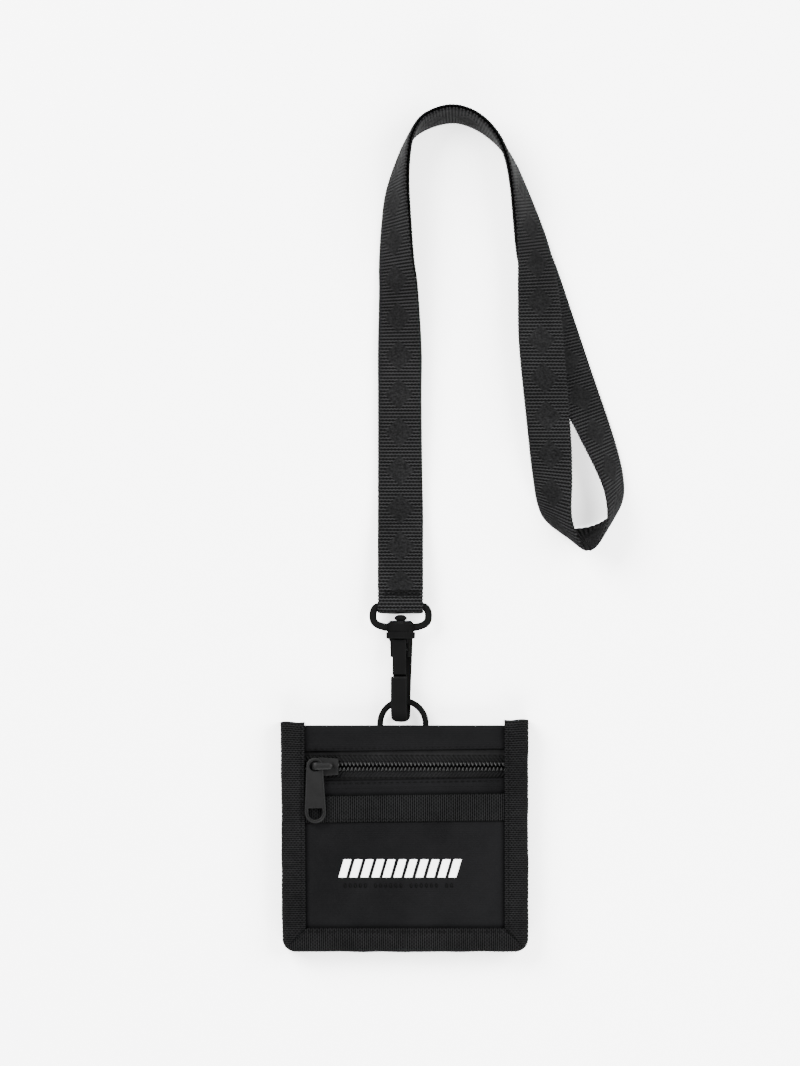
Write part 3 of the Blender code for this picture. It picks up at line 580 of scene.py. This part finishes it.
def motif_share(across, along):
    """1 inside the strap's woven lozenges, 0 outside: tone on tone figures in the middle of the tape."""
    wide, long = FIGURE_HALF
    place = (along + FIGURE_PITCH / 2) % FIGURE_PITCH - FIGURE_PITCH / 2
    spread = np.abs(place) / long + np.abs(across) / wide
    outline = smoothstep((1.0 - spread) / 0.12)
    ring = smoothstep((spread - 0.62) / 0.1) * smoothstep((1.0 - spread) / 0.1)
    core = smoothstep((0.36 - spread) / 0.1)
    return np.maximum(ring, core) * outline


def make_strap():
    """Two lengths that meet at the low end's tip, ribbed across and with a bumpy selvedge."""
    control, tip = strap_rows()
    dense = catmull(control, 24)
    tip_reach = np.linalg.norm(np.diff(centre_of(dense[: tip * 24 + 1]), axis=0), axis=1).sum()
    rows, reach = even(dense, STRAP_RIB / 4)
    split = int(round(tip_reach / STRAP_RIB)) * 4 + 2
    normal = normals_of(rows)[:, None]
    share = np.concatenate([[0.0, 0.012, 0.03], np.linspace(0.06, 0.94, 37), [0.97, 0.988, 1.0]])
    across, middle, uv = spread(rows, reach, share, STRAP_WIDTH)
    grow = 0.17 * MM * np.cos(2 * math.pi * reach / STRAP_RIB)[:, None, None]
    to_left = rows[:, 3:] - rows[:, :3]
    to_left = (to_left / np.linalg.norm(to_left, axis=1)[:, None])[:, None]
    outward = np.sign(across) * (np.abs(across) / (STRAP_WIDTH / 2)) ** 24
    middle = middle + to_left * grow * outward[None, :, None]
    body = np.maximum(1 - np.abs(across / (STRAP_WIDTH / 2)) ** 9, 0.12) ** 0.5
    crest = ribs(reach, STRAP_RIB)[:, None]
    motif = motif_share(across[None, :], reach[:, None])
    uneven = ripple(reach[:, None] * 0.9, across[None, :] * 1.4, 31 * MM)
    rib = 0.24 * MM * crest * (1 - 0.85 * motif) + 0.2 * MM * motif
    half = (STRAP_THICK / 2 - 0.06 * MM) * body[None, :] + rib * body[None, :]
    lift = 0.12 * MM * uneven * body[None, :]
    top = middle + normal * (half + lift)[:, :, None]
    bottom = middle - normal * (half - lift)[:, :, None]
    for name, span in (("strap_front_leg", slice(0, split + 1)), ("strap_rear_leg", slice(split, None))):
        piece = slab(name, top[span], bottom[span], STRAP, uv[span])
        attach(piece, "strap")
        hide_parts("neck_strap")
    return rows, normal[:, 0]


def make_tack(rows, normal):
    """A dense zigzag of thick thread over the top of the strap's sewn end, and three rows below it."""
    sewn_low, sewn_high = 104 * MM, 128 * MM
    front = (rows[:, 1] > sewn_low) & (rows[:, 1] < sewn_high) & (normal[:, 2] > 0.5)
    line = centre_of(rows)[front]
    line = line[np.argsort(line[:, 1])]
    half = 7.6 * MM
    surface = STRAP_THICK / 2 + 0.3 * MM

    def on_face(x, y):
        return (line[0, 0] + x, y, float(np.interp(y, line[:, 1], line[:, 2])) + surface)

    step, valley, peak = 0.95 * MM, 115.4 * MM, 117.6 * MM
    corners = [(-half + step * k, peak if k % 2 else valley) for k in range(17)]
    zigzag = [on_face(*corner) for corner in corners]
    tack = stitch_row("strap_tack_zigzag", zigzag, TACK_STITCH, "strap")
    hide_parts("strap_tack")
    for k, y in enumerate((107.6, 109.0, 110.4)):
        across = [on_face(x, y * MM) for x in np.linspace(-half, half, 12)]
        row = stitch_row(f"strap_tack_row_{k}", across, TACK_ROW_STITCH, "strap")


# Pouch panels


def cloth_panel(name, node, low_y=PANEL_FLOOR, level=None, tilt=(0.0, 0.0), belly=0.0, hem=()):
    """A layer of cloth from side to side: edges tilted, middle bowed by belly, hems folded round."""
    box_low, box_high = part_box(node)
    high_y = box_high.y
    z_low, z_high = level or (box_low.z, box_high.z)
    cols = np.linspace(-PANEL_HALF, PANEL_HALF, 150)
    rows = np.linspace(0.0, 1.0, max(24, int((high_y - low_y) / (0.6 * MM))))[:, None]
    rows = 0.5 - 0.5 * np.cos(math.pi * rows)
    x = cols + 0 * rows
    low = low_y + tilt[0] * x
    high = high_y + tilt[1] * x
    y = low + (high - low) * rows
    thick = z_high - z_low
    crown = (1 - (x / PANEL_HALF) ** 2) * (1 - (2 * rows - 1) ** 2)
    lift = belly * crown + 0.06 * MM * ripple(x, y, 47 * MM) + 0.03 * MM * ripple(y, x, 13 * MM)
    edge = np.minimum(y - low, high - y)
    round_off = np.sqrt(np.clip(1 - (1 - np.clip(edge / (thick * 0.5), 0, 1)) ** 2, 0.02, 1))
    body = thick / 2 * round_off
    hem_depth, hem_end = 3.0 * MM, 0.9 * MM
    for side, rise in hem:
        gap = (high - y) if side == "high" else (y - low)
        fold = smoothstep(gap / (0.5 * MM)) * (1 - smoothstep((gap - hem_depth) / hem_end))
        body = body + rise * fold / 2
        lift = lift + rise * fold / 2
    middle = (z_low + z_high) / 2 + lift
    top = points_at(x, y, middle + body)
    bottom = points_at(x, y, middle - body)
    panel = slab(name, top, bottom, CLOTH, np.stack([x, y], axis=-1))
    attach(panel, "pouch")
    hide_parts(node)
    return panel


def make_panels():
    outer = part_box("edge_binding")[1].x
    bottom = 4.2 * MM - outer  # the pouch's lower edge
    inset_flat, slope, lift = 10.9 * MM, 4.0 * MM, 1.0 * MM
    back = cloth_panel("back_cloth", "back_panel", level=(0.0, 0.8 * MM), hem=[("high", 0.3 * MM)])
    points = np.array([v.co[:] for v in back.data.vertices])
    inset = np.minimum(outer - np.abs(points[:, 0]), points[:, 1] - bottom)
    points[:, 2] += lift * (1 - smoothstep((inset - inset_flat) / slope))
    points[:, 2] = np.maximum(points[:, 2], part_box("back_panel")[0].z)
    back.data.vertices.foreach_set("co", points.ravel())

    cloth_panel("divider_cloth", "divider_panel")
    cloth_panel(
        "front_top_cloth",
        "front_top_panel",
        low_y=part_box("front_top_panel")[0].y,
        tilt=(EDGE_TILT, 0.0),
        belly=0.25 * MM,
        hem=[("low", 0.35 * MM), ("high", 0.3 * MM)],
    )
    lower_tilt = (0.0, EDGE_TILT * 1.2)
    cloth_panel("front_lower_cloth", "front_lower_panel", tilt=lower_tilt, hem=[("high", 0.35 * MM)])
    cloth_panel("slip_pocket_cloth", "slip_pocket_panel", tilt=(0.0, EDGE_TILT), belly=0.22 * MM)


def make_trim():
    """Ribbed tape over the slip pocket's mouth, with stitches along its lower edge."""
    low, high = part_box("slip_pocket_trim")
    tilt, seam_rise, half_thick = EDGE_TILT * 0.8, 1.3 * MM, 0.5 * (high.z - low.z)
    rows = np.linspace(0.0, 1.0, 30)[:, None]
    x = np.arange(-PANEL_HALF, PANEL_HALF, RIB_PITCH / 4) + 0 * rows
    y_low = low.y + tilt * x
    y_high = high.y + EDGE_TILT * x + 0.10 * MM * np.cos(2 * math.pi * x / RIB_PITCH)
    y = y_low + (y_high - y_low) * rows
    edge = np.minimum(y - y_low, y_high - y)
    body = np.sqrt(np.clip(1 - (1 - np.clip(edge / (0.5 * MM), 0, 1)) ** 2, 0.03, 1))
    seam = 1 - np.exp(-(((y - y_low - seam_rise) / (0.35 * MM)) ** 2))
    crest = ribs(x, RIB_PITCH)
    half = (half_thick + RIB_HEIGHT * 0.8 * crest * (0.3 + 0.7 * seam)) * body
    middle = (low.z + high.z) / 2 + 0.07 * MM * ripple(x, y, 40 * MM)
    top = points_at(x, y, middle + half)
    bottom = points_at(x, y, middle - half_thick * body)
    trim = slab("slip_pocket_tape", top, bottom, TAPE, np.stack([y, x], axis=-1))
    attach(trim, "pouch")
    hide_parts("slip_pocket_trim")
    seam_y = low.y + seam_rise
    reach = PANEL_HALF - 7.5 * MM
    ends = [(-reach, seam_y - tilt * reach, high.z), (reach, seam_y + tilt * reach, high.z)]
    stitch_row("trim_stitches", ends, TRIM_STITCH)


def make_binding():
    """Ribbed tape folded over three edges. Its ribs run across each arm and meet at a mitred crease."""
    low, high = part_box("edge_binding")
    half_width, bottom, top_y, height = high.x, low.y, high.y, high.z
    width, corner, thick, round_off = 10.6 * MM, 6.0 * MM, 0.7 * MM, 1.7 * MM
    fan, least, seam_inset = 14.0 * MM, 0.3 * MM, 9.0 * MM

    quarter = np.radians(np.linspace(0, 90, 6))[1:-1]
    profile = [(d, 0.0) for d in np.linspace(width, round_off, 26)]
    profile += [(round_off - round_off * math.sin(a), round_off - round_off * math.cos(a)) for a in quarter]
    shoulder = height - round_off
    profile += [(0.0, z) for z in np.linspace(round_off, shoulder, 9)]
    profile += [(round_off - round_off * math.cos(a), shoulder + round_off * math.sin(a)) for a in quarter]
    profile += [(d, height) for d in np.linspace(round_off, width, 26)]
    profile = np.array(profile)
    tangent = np.gradient(profile, axis=0)
    outward = np.stack([-tangent[:, 1], tangent[:, 0]], axis=-1)
    outward /= np.linalg.norm(outward, axis=1)[:, None]

    def place(inset):
        """Points of the left half of the path at each inset from the outer edge."""
        radius = np.maximum(corner - inset, least)
        reach = inset + radius
        step = RIB_PITCH / 4
        arm = top_y - (bottom + corner)
        v = np.arange(0.0, arm - fan, step)[:, None]
        side = -(half_width - inset)[None, :]
        x1, y1 = np.broadcast_arrays(side, top_y - v)
        w = np.linspace(0, 1, int(fan / step * 1.3), endpoint=False)[:, None]
        y_start = top_y - arm + fan
        y2 = y_start + ((bottom + reach)[None, :] - y_start) * w
        x2 = np.broadcast_to(side, y2.shape)
        angle = np.linspace(0, math.pi / 2, 40)[:, None]
        x3 = -(half_width - reach + radius * np.cos(angle))
        y3 = bottom + reach - radius * np.sin(angle)
        w = w[1:]
        x_start = -(half_width - corner) + fan
        x4 = -(half_width - reach)[None, :] * (1 - w) + x_start * w
        y4 = np.broadcast_to((bottom + inset)[None, :], x4.shape)
        x5 = np.arange(x_start, 0.0, step)[:, None]
        x5, y5 = np.broadcast_arrays(x5, (bottom + inset)[None, :])
        x = np.concatenate([x1, x2, x3, x4, x5])
        y = np.concatenate([y1, y2, y3, y4, y5])
        return np.stack([np.concatenate([x, -x[::-1]]), np.concatenate([y, y[::-1]])], axis=-1)

    plan = place(profile[:, 0])
    from_side = half_width - np.abs(plan[:, :, 0])
    from_bottom = plan[:, :, 1] - bottom
    on_arm = from_bottom > from_side
    along = np.where(on_arm, plan[:, :, 1], plan[:, :, 0])
    crest = ribs(along, RIB_PITCH)
    dash_turn = math.pi * np.floor(along / RIB_PITCH + 0.5)
    across = np.minimum(from_side, from_bottom)
    dashes = 0.7 + 0.3 * np.cos(2 * math.pi * across / (0.9 * MM) + dash_turn)
    mitre = np.exp(-(((from_bottom - from_side) / (0.55 * MM)) ** 2)) * smoothstep((across - 1.5 * MM) / MM)
    seam = np.exp(-(((across - seam_inset) / (0.5 * MM)) ** 2))
    rib = RIB_HEIGHT * crest * dashes * (1 - 0.6 * seam) - 0.4 * MM * mitre - 0.1 * MM * seam
    wave = 0.2 * MM * ripple(plan[:, :, 1] + 0.2, plan[:, :, 0], 29 * MM) - 0.15 * MM
    down = (top_y - plan[:, :, 1]) / (top_y - bottom)
    lean = np.where(plan[:, :, 0] < 0, LEAN_LEFT, 0.0) * down - BINDING_SHIFT
    rise = np.where(plan[:, :, 0] < 0, *MOUTH_RISE) + 0.25 * MM * np.sin(across / (1.7 * MM))
    rise = rise * np.clip(1 - 4 * down, 0.0, 1.0) ** 2

    def skin(depth, ribs):
        """The tape's surface at a depth below its outer face."""
        moved = profile - outward * depth
        points = np.empty((*plan.shape[:2], 3))
        points[:, :, :2] = place(np.maximum(moved[:, 0], 0.0))
        sink = 0.45 * MM * smoothstep((profile[:, 0] - 6.5 * MM) / (4.0 * MM)) * (profile[:, 1] > height / 2)
        points[:, :, 2] = moved[:, 1][None, :] - sink[None, :]
        push = np.zeros(plan.shape[:2]) if not ribs else rib
        side_x = np.where(on_arm, np.sign(points[:, :, 0]), 0.0)
        side_y = np.where(on_arm, 0.0, -1.0)
        points[:, :, 0] += side_x * (-outward[:, 0])[None, :] * (push + wave) + lean
        points[:, :, 1] += side_y * (-outward[:, 0])[None, :] * (push + wave) + rise
        points[:, :, 2] += outward[:, 1][None, :] * push
        return points

    uv = np.stack([across + profile[:, 1][None, :], along], axis=-1)
    binding = slab("edge_binding_tape", skin(0.0, True), skin(thick, False), TAPE, uv)
    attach(binding, "pouch")
    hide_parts("edge_binding")

    line_x, line_y = half_width - seam_inset, bottom + seam_inset
    for name, level, up in (("front", height - 0.28 * MM, 1), ("rear", 0.12 * MM, -1)):
        corners = [(-line_x, top_y - MM), (-line_x, line_y), (line_x, line_y), (line_x, top_y - MM)]
        line = [(x, y, level) for x, y in corners]
        stitch_row(f"binding_stitches_{name}", line, BINDING_STITCH, up=(0, 0, up))


# Mark on the front


def make_motif():
    """Slanted bars of white satin stitch, and a row of small tonal dashes under them."""
    low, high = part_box("front_motif")
    bars, slant, share = 11, 2.4 * MM, 0.72
    pitch = (high.x - low.x - slant) / (bars - (1 - share))
    wide = pitch * share
    rows = np.linspace(0.0, 1.0, 64)[:, None]
    cols = np.linspace(0.0, 1.0, 14)[None, :]
    for k in range(bars):
        left = low.x + k * pitch
        y = low.y + (high.y - low.y) * rows + 0 * cols
        fray = 0.05 * MM * np.sin(2 * math.pi * rows * 19 + k) * (2 * cols - 1)
        x = left + slant * rows + wide * cols + fray
        crown = np.sqrt(np.clip(1 - np.abs(2 * cols - 1) ** 4, 0.03, 1))
        crown = crown * np.clip(1 - np.abs(2 * rows - 1) ** 26, 0.05, 1)
        ridge = 0.035 * MM * np.sin(2 * math.pi * (rows * 19 + cols * 0.8))
        base = low.z - 0.25 * MM
        top = points_at(x, y, base + (0.55 * MM + ridge) * crown)
        bottom = points_at(x, y, base + 0 * x)
        bar = slab(f"motif_bar_{k + 1:02d}", top, bottom, WHITE)
        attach(bar, "pouch")
        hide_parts("front_motif")
    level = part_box("slip_pocket_panel")[1].z + 0.16 * MM
    frames = []
    for k in range(22):
        if k % 7 == 5:
            continue
        centre = (low.x + (3.0 + 2.25 * k) * MM, low.y - 3.5 * MM, level)
        frames.append((centre, (0, 1, 0), (-1, 0, 0), (0, 0, 1)))
    dashes = scatter("tonal_dashes", stitch_template(1.9 * MM, 0.8 * MM), frames, THREAD)
    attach(dashes, "pouch")


# Zip


def make_zip_tapes():
    """Woven tapes with a herringbone beside the teeth, and the row of stitches that holds them."""
    rows = np.linspace(0.0, 1.0, 34)[:, None]
    x = np.arange(-PANEL_HALF, PANEL_HALF, TOOTH_PITCH / 6) + 0 * rows
    reach, seam_away = 44 * MM, 4.9 * MM
    tapes = (("zip_tape_above", "zip_tape_upper", 1), ("zip_tape_below", "zip_tape_lower", -1))
    for name, node, side in tapes:
        low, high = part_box(node)
        y = low.y + (high.y - low.y) * rows + 0 * x
        away = np.abs(y - ZIP_Y)
        slanted = np.sin(2 * math.pi * (x + 0.75 * away) / TOOTH_PITCH)
        bone = smoothstep((away - 1.2 * MM) / (0.3 * MM)) * (1 - smoothstep((away - 4.4 * MM) / (0.5 * MM)))
        half = (high.z - low.z) / 2
        face = (low.z + high.z) / 2 + 0.04 * MM * ripple(x, y, 33 * MM)
        top = points_at(x, y, face + half + 0.24 * MM * slanted * bone)
        bottom = points_at(x, y, face - half)
        tape = slab(name, top, bottom, ZIP_CLOTH, np.stack([x, y], axis=-1))
        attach(tape, "pouch")
        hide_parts(node)
        line_y = ZIP_Y + side * seam_away
        line = [(x_end, line_y, high.z + 0.02 * MM) for x_end in (-reach, reach)]
        stitch_row(f"{name}_stitches", line, ZIP_STITCH)


def make_teeth():
    """Each row of the coil is a run of bent nylon loops; the rows stand half a pitch apart."""
    loop = np.array(
        [
            (-0.42, 2.00, 0.30),
            (-0.36, 1.80, 0.55),
            (-0.24, 1.45, 0.74),
            (-0.04, 1.05, 0.84),
            (0.16, 0.72, 0.90),
            (0.26, 0.46, 0.78),
            (0.28, 0.40, 0.52),
            (0.30, 0.55, 0.32),
            (0.32, 1.00, 0.26),
            (0.36, 1.80, 0.24),
        ]
    )
    radius = np.array([0.12, 0.13, 0.14, 0.16, 0.24, 0.3, 0.27, 0.18, 0.14, 0.12])
    half_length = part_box("zip_coil_upper")[1].x
    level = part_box("zip_coil_upper")[0].z
    count = int(2 * half_length / TOOTH_PITCH) - 1
    for name, node, side, shift in (
        ("zip_teeth_above", "zip_coil_upper", 1, 0.0),
        ("zip_teeth_below", "zip_coil_lower", -1, 0.5),
    ):
        path = loop * [1.0, side, 1.0]
        template = tube_template(path * MM, radius * MM, 8)
        frames = []
        for k in range(count):
            x = -half_length + (k + 0.6 + shift) * TOOTH_PITCH
            frames.append(((x, ZIP_Y, level), (1, 0, 0), (0, 1, 0), (0, 0, 1)))
        teeth = scatter(name, template, frames, NYLON)
        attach(teeth, "pouch")
        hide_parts(node)


# Cast metal


def coat(mesh, material):
    mesh.materials.clear()
    mesh.materials.append(material)
    mesh.shade_smooth()


def cast(node, name, voxel, passes, material, body):
    """A CAD solid as it comes from the mould: the same shape with soft edges and no facets."""
    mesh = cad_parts[node].data.copy()
    mesh.name = name
    piece = new_object(name, mesh)
    remesh = piece.modifiers.new("skin", "REMESH")
    remesh.mode = "VOXEL"
    remesh.voxel_size = voxel
    soften = piece.modifiers.new("soften", "SMOOTH")
    soften.factor = 0.5
    soften.iterations = passes
    graph = bpy.context.evaluated_depsgraph_get()
    result = bpy.data.meshes.new_from_object(piece.evaluated_get(graph))
    piece.modifiers.clear()
    piece.data = result
    grow_back(result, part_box(node))
    coat(result, material)
    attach(piece, body)
    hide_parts(node)
    return piece


def grow_back(mesh, box):
    """Smoothing shrinks a mesh: this moves its skin out again until it reaches its old box somewhere."""
    count = len(mesh.vertices)
    points, normals = np.empty(count * 3), np.empty(count * 3)
    mesh.vertices.foreach_get("co", points)
    mesh.vertex_normals.foreach_get("vector", normals)
    points, normals = points.reshape(-1, 3), normals.reshape(-1, 3)
    old_size = np.subtract(box[1], box[0])
    lost = (old_size - np.ptp(points, axis=0)) / 2
    points += normals * max(lost.mean(), 0.0)
    mesh.vertices.foreach_set("co", points.ravel())
    mesh.update()


def rim(name, points, radius):
    """A round closed wire through the points, on the zip's pull."""
    curve = bpy.data.curves.new(name, "CURVE")
    curve.dimensions = "3D"
    curve.bevel_depth = radius
    curve.bevel_resolution = 3
    spline = curve.splines.new("POLY")
    spline.points.add(len(points) - 1)
    for target, point in zip(spline.points, points):
        target.co = (*point, 1.0)
    spline.use_cyclic_u = True
    source = new_object(name, curve)
    graph = bpy.context.evaluated_depsgraph_get()
    mesh = bpy.data.meshes.new_from_object(source.evaluated_get(graph))
    bpy.data.objects.remove(source)
    coat(mesh, ZIP_METAL)
    piece = new_object(name, mesh)
    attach(piece, "zip_pull")


def arc(centre, radius, start, end, steps):
    angles = np.radians(np.linspace(start, end, steps))
    return [(centre[0] + radius * math.cos(a), centre[1] + radius * math.sin(a)) for a in angles]


def make_slider():
    cast("slider_body", "slider_casting", 0.11 * MM, 6, ZIP_METAL, "zip_slider")
    low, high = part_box("slider_bridge")
    middle = (low.y + high.y) / 2
    foot, crown = low.z - 0.25 * MM, high.z - 0.25 * MM
    path = [
        (low.x + 0.55 * MM, middle, foot),
        (low.x + 0.62 * MM, middle, foot + 1.0 * MM),
        (low.x + 0.85 * MM, middle, crown - 0.7 * MM),
        (low.x + 1.5 * MM, middle, crown - 0.12 * MM),
        (low.x + 2.6 * MM, middle, crown),
        (low.x + 4.5 * MM, middle, crown - 0.05 * MM),
        (high.x - 2.6 * MM, middle, crown - 0.05 * MM),
        (high.x - 1.4 * MM, middle, crown - 0.2 * MM),
        (high.x - 0.65 * MM, middle, crown - 1.3 * MM),
        (high.x - 0.5 * MM, middle, foot),
    ]
    rows = np.array([[*p, *p] for p in path])
    path = catmull(rows, 6)[:, :3]
    share = np.linspace(0, 1, len(path))
    radii = (1.35 + 0.4 * np.sin(math.pi * np.clip(share * 1.15, 0, 1)) - 0.25 * share) * MM
    along = np.gradient(path, axis=0)
    along /= np.linalg.norm(along, axis=1)[:, None]
    up = np.cross(along, np.array([0.0, 1.0, 0.0]))
    angle = np.linspace(0, 2 * math.pi, 24, endpoint=False)
    thick = 0.5 * MM
    ring = np.cos(angle)[None, :, None] * radii[:, None, None] * np.array([0.0, 1.0, 0.0])
    ring = ring + np.sin(angle)[None, :, None] * thick * up[:, None, :]
    grid = path[:, None, :] + np.concatenate([ring, ring[:, :1]], axis=1)
    faces = grid_faces(*grid.shape[:2])
    points = np.concatenate([grid.reshape(-1, 3), path[[0, -1]]])
    bridge = mesh_object("slider_bail", points, faces, ZIP_METAL)
    close_and_weld(bridge)
    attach(bridge, "zip_slider")
    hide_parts("slider_bridge")


def close_and_weld(obj):
    """Joins the seam of a tube, drops loose points and caps its ends."""
    work = bmesh.new()
    work.from_mesh(obj.data)
    bmesh.ops.remove_doubles(work, verts=work.verts, dist=1e-7)
    loose = [v for v in work.verts if not v.link_faces]
    bmesh.ops.delete(work, geom=loose, context="VERTS")
    bmesh.ops.holes_fill(work, edges=work.edges)
    bmesh.ops.recalc_face_normals(work, faces=work.faces)
    work.to_mesh(obj.data)
    work.free()


def make_pull():
    """The pull's plate, with thin raised rims round its edge and its two holes."""
    cast("pull_tab", "pull_plate", 0.11 * MM, 5, ZIP_METAL, "zip_pull")
    low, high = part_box("pull_tab")
    eye, eye_radius, tip_radius = (-40.0 * MM, 31.7 * MM), 3.7 * MM, 4.75 * MM
    tip = (eye[0] + 0.3 * MM, low.y + tip_radius)
    shoulder, shoulder_y = 3.9 * MM, eye[1] - 4.0 * MM
    inset, band = 0.42 * MM, 1.35 * MM
    hole_half, hole_top = 3.25 * MM, tip[1] + 2.15 * MM
    edge = arc(eye, eye_radius - inset, 0, 180, 30)
    edge += [(eye[0] - shoulder + inset, shoulder_y)]
    edge += arc(tip, tip_radius - inset, 180, 360, 40)
    edge += [(eye[0] + shoulder - inset, shoulder_y)]
    hole = arc(tip, tip_radius - band, 180, 360, 30)
    hole += [(tip[0] + hole_half, hole_top), (tip[0] - hole_half, hole_top)]
    for name, outline in (("edge", edge), ("grip", hole)):
        points = [(x, y, high.z - 0.02 * MM) for x, y in outline]
        rim(f"pull_rim_{name}", points, 0.24 * MM)


def make_hardware():
    cast("d_ring", "ring_wire", 0.15 * MM, 8, BLACK_METAL, "tether_ring")
    cast("hook_body", "hook_casting", 0.13 * MM, 6, BLACK_METAL, "snap_hook")
    cast("gate_lever", "gate_casting", 0.12 * MM, 5, BLACK_METAL, "hook_gate")
    cast("swivel_rivet", "rivet_post", 0.12 * MM, 4, BLACK_METAL, "snap_hook")
    eye = cast("swivel_eye", "eye_casting", 0.15 * MM, 6, BLACK_METAL, "swivel")
    seat_hub(eye.data)
    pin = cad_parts["gate_pin"].data
    pin.materials.clear()
    pin.materials.append(STEEL)


def seat_hub(mesh):
    """Brings the hub's lower rim down to the flange, where the running gap would show as a white line."""
    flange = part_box("hook_body")[1].y
    reach, drop = 0.8 * MM, 0.24 * MM
    for vertex in mesh.vertices:
        above = (vertex.co.y - flange - 0.3 * MM) / reach
        vertex.co.y -= drop * min(max(1.0 - above, 0.0), 1.0)
    mesh.update()


def make_spring():
    """The gate's spring: the CAD coil in steel, on a mesh of its own."""
    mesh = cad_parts["gate_spring"].data.copy()
    coat(mesh, STEEL)
    spring = new_object("spring_coil", mesh)
    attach(spring, "snap_hook")
    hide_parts("gate_spring")
    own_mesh(spring)


def make_ring_tab():
    """Webbing folded round the D-ring's bar, its two ends sewn down inside the mouth."""
    low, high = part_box("ring_tab")
    bar_y, bar_z = 47.2 * MM, 4.9 * MM
    wrap = 2.05 * MM
    angles = np.radians(np.linspace(120, -120, 14))
    line = [(31.0, 2.8), (36.0, 2.8), (41.5, 2.9), (44.6, 4.3)]
    line = [(y * MM, z * MM) for y, z in line]
    line += [(bar_y + wrap * math.cos(a), bar_z + wrap * math.sin(a)) for a in angles]
    line += [(y * MM, z * MM) for y, z in [(44.6, 2.0), (41.0, 1.65), (36.0, 1.6), (31.0, 1.6)]]
    right, left = high.x, low.x
    rows = np.array([[right, y, z, left, y, z] for y, z in line])
    rows, reach = even(catmull(rows, 12), RIB_PITCH / 5)
    normal = normals_of(rows)[:, None]
    share = np.concatenate([[0.0, 0.02], np.linspace(0.05, 0.95, 22), [0.98, 1.0]])
    _, middle, uv = spread(rows, reach, share, right - left)
    body = np.maximum(1 - np.abs(2 * share - 1) ** 9, 0.15) ** 0.5
    crest = ribs(reach, RIB_PITCH)
    half = (0.32 * MM + 0.1 * MM * crest[:, None]) * body[None, :]
    top = middle + normal * half[:, :, None]
    bottom = middle - normal * half[:, :, None]
    tab = slab("ring_tab_webbing", top, bottom, TAPE, uv)
    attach(tab, "pouch")
    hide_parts("ring_tab")


def make_fold_stitches():
    """The rows of stitches along the cloth's folds above and below the zip."""
    reach = 43.5 * MM
    rows = (
        ("fold_stitches_top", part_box("front_top_panel")[0].y + 1.1 * MM, EDGE_TILT),
        ("fold_stitches_placket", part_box("front_lower_panel")[1].y - 1.3 * MM, EDGE_TILT * 1.2),
    )
    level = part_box("front_top_panel")[1].z + 0.36 * MM
    for name, y, tilt in rows:
        line = [(-reach, y - tilt * reach, level), (reach, y + tilt * reach, level)]
        stitch_row(name, line, FOLD_STITCH)


make_camera()
make_stage()
strap_line, strap_normals = make_strap()
make_tack(strap_line, strap_normals)
make_panels()
make_trim()
make_binding()
make_motif()
make_zip_tapes()
make_teeth()
make_slider()
make_pull()
make_hardware()
make_spring()
make_ring_tab()
make_fold_stitches()
